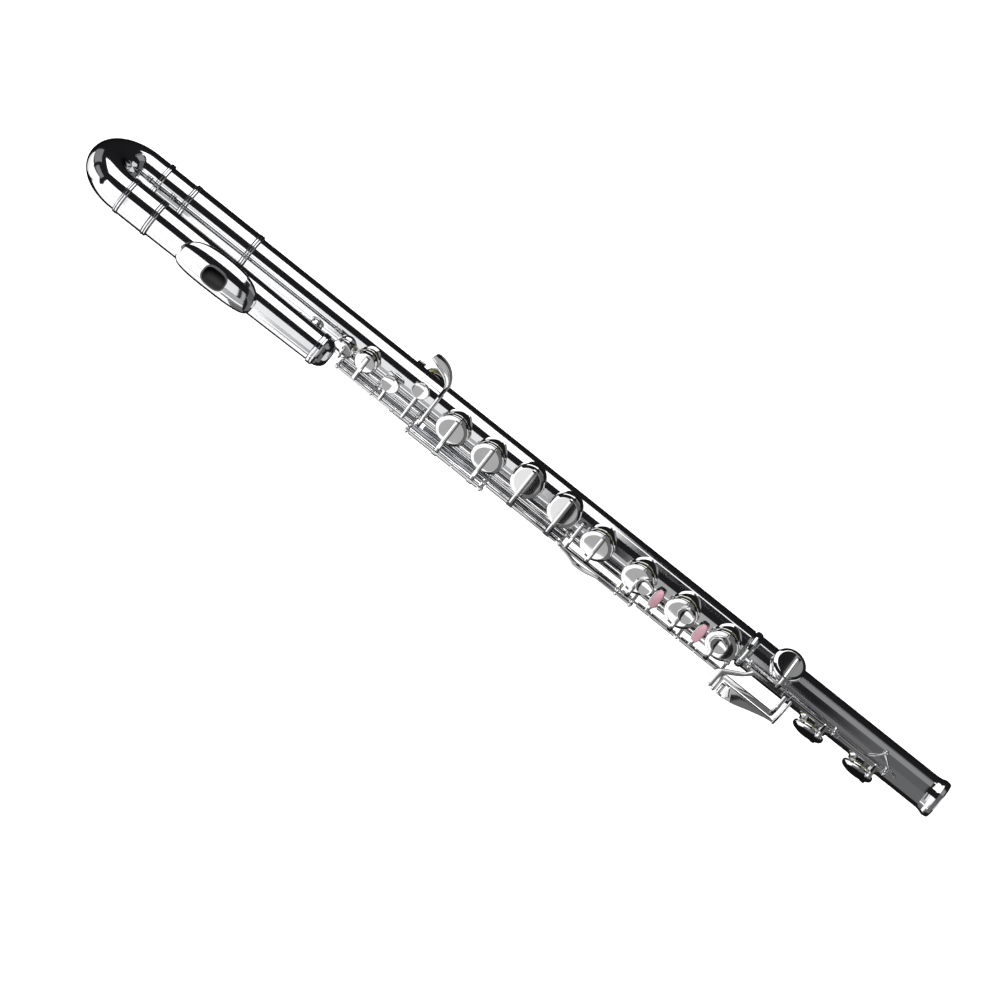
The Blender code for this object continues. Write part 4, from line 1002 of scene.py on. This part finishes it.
def make_foot():
    low, high = -164.9, -147.0
    ring = RING_R + 0.1
    socket = [(low, ring - 1.0), (low + 0.8, ring - 0.2), (low + 2.4, ring),
              (low + 4.0, ring - 0.2), (low + 4.8, ring - 1.0), (low + 5.0, FOOT_R),
              (low + 6.0, FOOT_R), (high, FOOT_R)]
    tube = [(high + 0.1, FOOT_R), (-16.0, FOOT_R), (-12.0, FOOT_R), (-9.0, FOOT_R + 0.15),
            (-6.6, FOOT_R + 0.6), (-5.0, FOOT_R + 1.3), (-3.6, FOOT_R + 1.5), (-1.0, FOOT_R + 1.1)]
    profile = [(x, radius, 12.3) for x, radius in socket]
    profile += [(x, radius, 12.0) for x, radius in tube] + [(0.0, FOOT_R + 0.5, 12.1)]
    piece("foot_tube", "foot", "silver", holed(pipe(profile, 144), FOOT_HOLES, FOOT_R))

    shapes = [strap(-160.5, -34.0, 1.0, 6.6, FOOT_R)]
    for x in FOOT_POSTS:
        shapes += post(x, [(0.3, FOOT_R + 0.5), FOOT_ROD])
    piece("foot_rib", "foot", "keys", shapes)
    extra("foot_screws", "foot", "steel",
          pivot_screws(FOOT_POSTS[0], [FOOT_ROD], -1) + pivot_screws(FOOT_POSTS[-1], [FOOT_ROD], 1))

    ball_at = (-48.9, 10.6, 12.0)
    wires = [peg((-48.9, 8.6, 9.6), ball_at, 0.8, 24, 0.2), ball(ball_at, 1.7)]
    for x, y, z in ((-57.0, 1.8, 14.0), (-33.5, -0.6, 14.0)):
        path = [(-48.9, 9.8, 12.2), ((x - 48.9) / 2, y * 0.5 + 4.6, 14.9), (x, y, z)]
        wires.append(sweep(smooth_path(path), 0.5, 0.5, up=(0, 0, 1)))
    extra("foot_ball_post", "foot", "keys", wires)

    x, angle = FOOT_HOLES["e_flat"][:2]
    reach = foot_arm(x + 3.0, turn_points(FOOT_ARM, angle))
    slope = math.radians(13.0)
    spatula = plate([(-150.4, 0.8), (-146.4, 0.8), (-151.0, -4.5), (-156.0, -9.2),
                     (-162.5, -13.2), (-166.6, -15.6), (-166.9, -27.0), (-168.6, -28.6),
                     (-171.4, -26.2), (-173.2, -21.5), (-172.8, -17.0), (-170.4, -13.6),
                     (-164.5, -10.2), (-158.5, -6.8), (-154.2, -4.2), (-152.4, -0.5)], 1.8,
                    (0, 0, 17.6), u=(1, 0, 0), v=(0, math.cos(slope), -math.sin(slope)),
                    round_by=2.2, bevel=0.7)
    piece("key_e_flat", "e_flat_key", "keys",
          [tube_of((-154.6, -127.7), FOOT_ROD), cup(x, angle), reach, spatula])
    key_pad("e_flat", "e_flat_key", x, angle, CUP_R)

    turn = standing_open(FOOT_ROD, -14.0)
    x, angle = FOOT_HOLES["c_sharp"][:2]
    cup_arm = turn_points([(-y, z) for y, z in FOOT_ARM[::-1]], angle)
    route = [(-0.4, 17.6), (-6.0, 18.4), (-15.0, 15.6), (-24.6, TOUCH_Z)]
    reach = foot_arm(x + 6.6, cup_arm)
    out = sweep(smooth_path([(-119.4, y, z) for y, z in route]), 1.1, 1.1, up=(1, 0, 0),
                power=3.0)
    lugs = [touch_plate([(-156.0, y - 0.7), (-156.0, y + 0.7), (-161.6, y + 0.7),
                         (-161.6, y - 0.7)], 1.6) for y in (-23.9, -32.7)]
    pin = touch_pin(-160.6, -23.6, -33.0)
    piece("key_c_sharp", "c_sharp_key", "keys",
          [tube_of((-121.6, -87.6), FOOT_ROD), cup(x, angle), reach, out, foot_leaf(),
           pin] + lugs, turn)
    key_pad("c_sharp", "c_sharp_key", x, angle, CUP_R, turn)
    piece("roller_c_sharp", "c_sharp_roller", "keys", [roller(-160.6, -24.9, 6.8)], turn)

    x, angle = FOOT_HOLES["low_c"][:2]
    reach = foot_arm(x + 7.4, cup_arm)
    piece("key_low_c", "low_c_key", "keys",
          [tube_of((-80.6, -43.6), FOOT_ROD), cup(x, angle), reach], turn)
    key_pad("low_c", "low_c_key", x, angle, CUP_R, turn)
    route = [(-0.4, 17.6), (-6.0, 18.4), (-13.0, 16.0), (-20.4, TOUCH_Z)]
    out = sweep(smooth_path([(-124.2, y, z) for y, z in route]), 1.2, 1.7, up=(1, 0, 0),
                power=3.0)
    rail = touch_plate([(-123.2, -18.4), (-123.2, -22.2), (-166.0, -22.2), (-166.0, -18.4)], 1.7)
    pin = touch_pin(-164.8, -20.0, -33.2)
    cap = touch_pin(-164.8, -32.4, -33.4, 1.3, 24)
    piece("lever_low_c", "low_c_key", "keys",
          [tube_of((-127.2, -122.1), FOOT_ROD), out, rail, pin, cap], turn)
    piece("roller_low_c", "low_c_roller", "keys", [roller(-164.8, -21.2, 10.8)], turn)
    piece("steel_foot", "low_c_key", "steel", [rod(-157.6, -39.6, STEEL_R, FOOT_ROD)], turn)


make_body()
make_bend()
make_head()
make_left_hand()
make_g_sharp()
make_thumb()
make_trills()
make_right_hand()
make_posts()
make_foot()

# ---- floor, light and camera ----
FLOOR_Z = -0.9
FLOOR_HALF = 9.0
SUBJECT = Vector((-0.3546, -0.0236, 0.010))
AZIMUTH = math.radians(89.09)
ELEVATION = math.radians(60.55)
ROLL = math.radians(-140.64)
VIEW_DISTANCE = 3.345
VIEW_LENS = 180.0

floor_material = bpy.data.materials.new("pale_floor")
floor_material.use_nodes = True
set_inputs(floor_material.node_tree.nodes["Principled BSDF"], Base_Color=(0.9, 0.9, 0.9, 1.0),
           Roughness=0.9, Specular_IOR_Level=0.0)
floor_mesh = bpy.data.meshes.new("floor")
floor_mesh.from_pydata([(x * FLOOR_HALF, y * FLOOR_HALF, FLOOR_Z)
                        for x, y in ((-1, -1), (1, -1), (1, 1), (-1, 1))], [], [(0, 1, 2, 3)])
floor_mesh.materials.append(floor_material)
floor = add_object("floor", floor_mesh)
floor.visible_glossy = False


def softbox(name, place, target, width, height, radiance):
    """A rectangular area light, with its power set from the brightness it shows."""
    light = bpy.data.lights.new(name, "AREA")
    light.shape = "RECTANGLE"
    light.size = width
    light.size_y = height
    light.energy = radiance * width * height * math.pi
    made = add_object(name, light)
    made.location = place
    made.visible_camera = False
    way = Vector(target) - Vector(place)
    made.rotation_euler = way.to_track_quat("-Z", "Y").to_euler()


def arc_box(name, x_span, arc, radiance, distance=2.6):
    """A softbox that fills an arc of directions about the tube, from +Z towards +Y."""
    middle = math.radians((arc[0] + arc[1]) / 2)
    half = math.radians(abs(arc[1] - arc[0]) / 2)
    x = (x_span[0] + x_span[1]) / 2
    place = (x, distance * math.sin(middle), distance * math.cos(middle))
    softbox(name, place, (x, 0, 0), x_span[1] - x_span[0], 2 * distance * math.tan(half), radiance)


# name, span along X in metres, arc in degrees, brightness, and the distance of a near one
ARC_BOXES = (
    ("side_box", (-3.2, -0.24), (66.0, 121.0), 1.5),
    ("side_strip", (-0.24, 0.0), (100.0, 107.0), 1.2),
    ("foot_side_box", (0.02, 1.6), (66.0, 98.0), 0.25),
    ("foot_side_lower", (0.12, 1.6), (12.0, 66.0), 0.10),
    ("foot_side_upper", (0.02, 1.6), (98.0, 107.0), 0.12),
    ("foot_fill", (0.0, 1.6), (12.0, -75.0), 0.13, 1.6),
    ("top_box_head", (-3.2, -0.70), (26.0, -19.0), 1.2),
    ("top_box", (-0.70, -0.332), (26.0, -19.0), 0.85),
    ("top_box_right", (-0.20, 0.0), (26.0, -19.0), 0.4),
    ("rod_side_head", (-3.2, -0.66), (-20.0, -60.0), 1.3),
    ("rod_side_body", (-0.66, 0.0), (-20.0, -42.9), 0.42),
    ("rod_side_lower", (-0.66, 0.0), (-42.9, -50.0), 1.2),
    ("rod_side_dim", (-0.66, 0.0), (-50.0, -60.0), 0.25),
    ("low_box", (-3.2, -0.54), (-62.0, -98.0), 1.3),
    ("low_box_dim", (-0.54, 0.0), (-60.0, -98.0), 0.14),
)
for row in ARC_BOXES:
    arc_box(*row)
# name, place, target, width, height and brightness
SOFTBOXES = (
    ("end_box", (-3.4, -1.4, 0.6), (-0.67, 0, 0.03), 2.0, 2.4, 1.1),
    ("bend_box", (-1.85, -0.58, -0.45), (-0.69, 0, 0.03), 1.0, 0.8, 1.2),
    ("bend_box_dim", (-1.85, 0.30, -0.45), (-0.69, 0, 0.03), 0.7, 0.8, 0.22),
    ("foot_end_box", (3.0, -0.2, 0.7), (-0.35, 0, 0.03), 3.6, 3.0, 0.7),
    ("end_box_dim", (-3.4, 0.3, 1.0), (-0.67, 0, 0.03), 1.0, 1.6, 0.22),
)
for row in SOFTBOXES:
    softbox(*row)

sun = bpy.data.lights.new("floor_light", "SUN")
sun.energy = 4.6
sun.angle = math.radians(12)
sun_object = add_object("floor_light", sun)
sun_object.rotation_euler = (math.radians(-38), 0, 0)
sun_object.visible_glossy = False

world = bpy.data.worlds.new("studio")
world.use_nodes = True
set_inputs(world.node_tree.nodes["Background"], Color=(0.012, 0.012, 0.013, 1.0), Strength=1.0)
bpy.context.scene.world = world
bpy.context.scene.view_settings.view_transform = "Standard"

back = Vector((math.cos(ELEVATION) * math.cos(AZIMUTH), math.cos(ELEVATION) * math.sin(AZIMUTH),
               math.sin(ELEVATION)))
level = Vector((-math.sin(AZIMUTH), math.cos(AZIMUTH), 0))
upward = back.cross(level)
right = level * math.cos(ROLL) + upward * math.sin(ROLL)
top = back.cross(right)
camera_data = bpy.data.cameras.new("camera")
camera_data.lens = VIEW_LENS
camera_data.sensor_width = 36.0
camera_data.clip_end = 50.0
camera = add_object("camera", camera_data)
camera.matrix_world = (Matrix.Translation(SUBJECT + back * VIEW_DISTANCE)
                       @ Matrix((right, top, back)).transposed().to_4x4())
bpy.context.scene.camera = camera
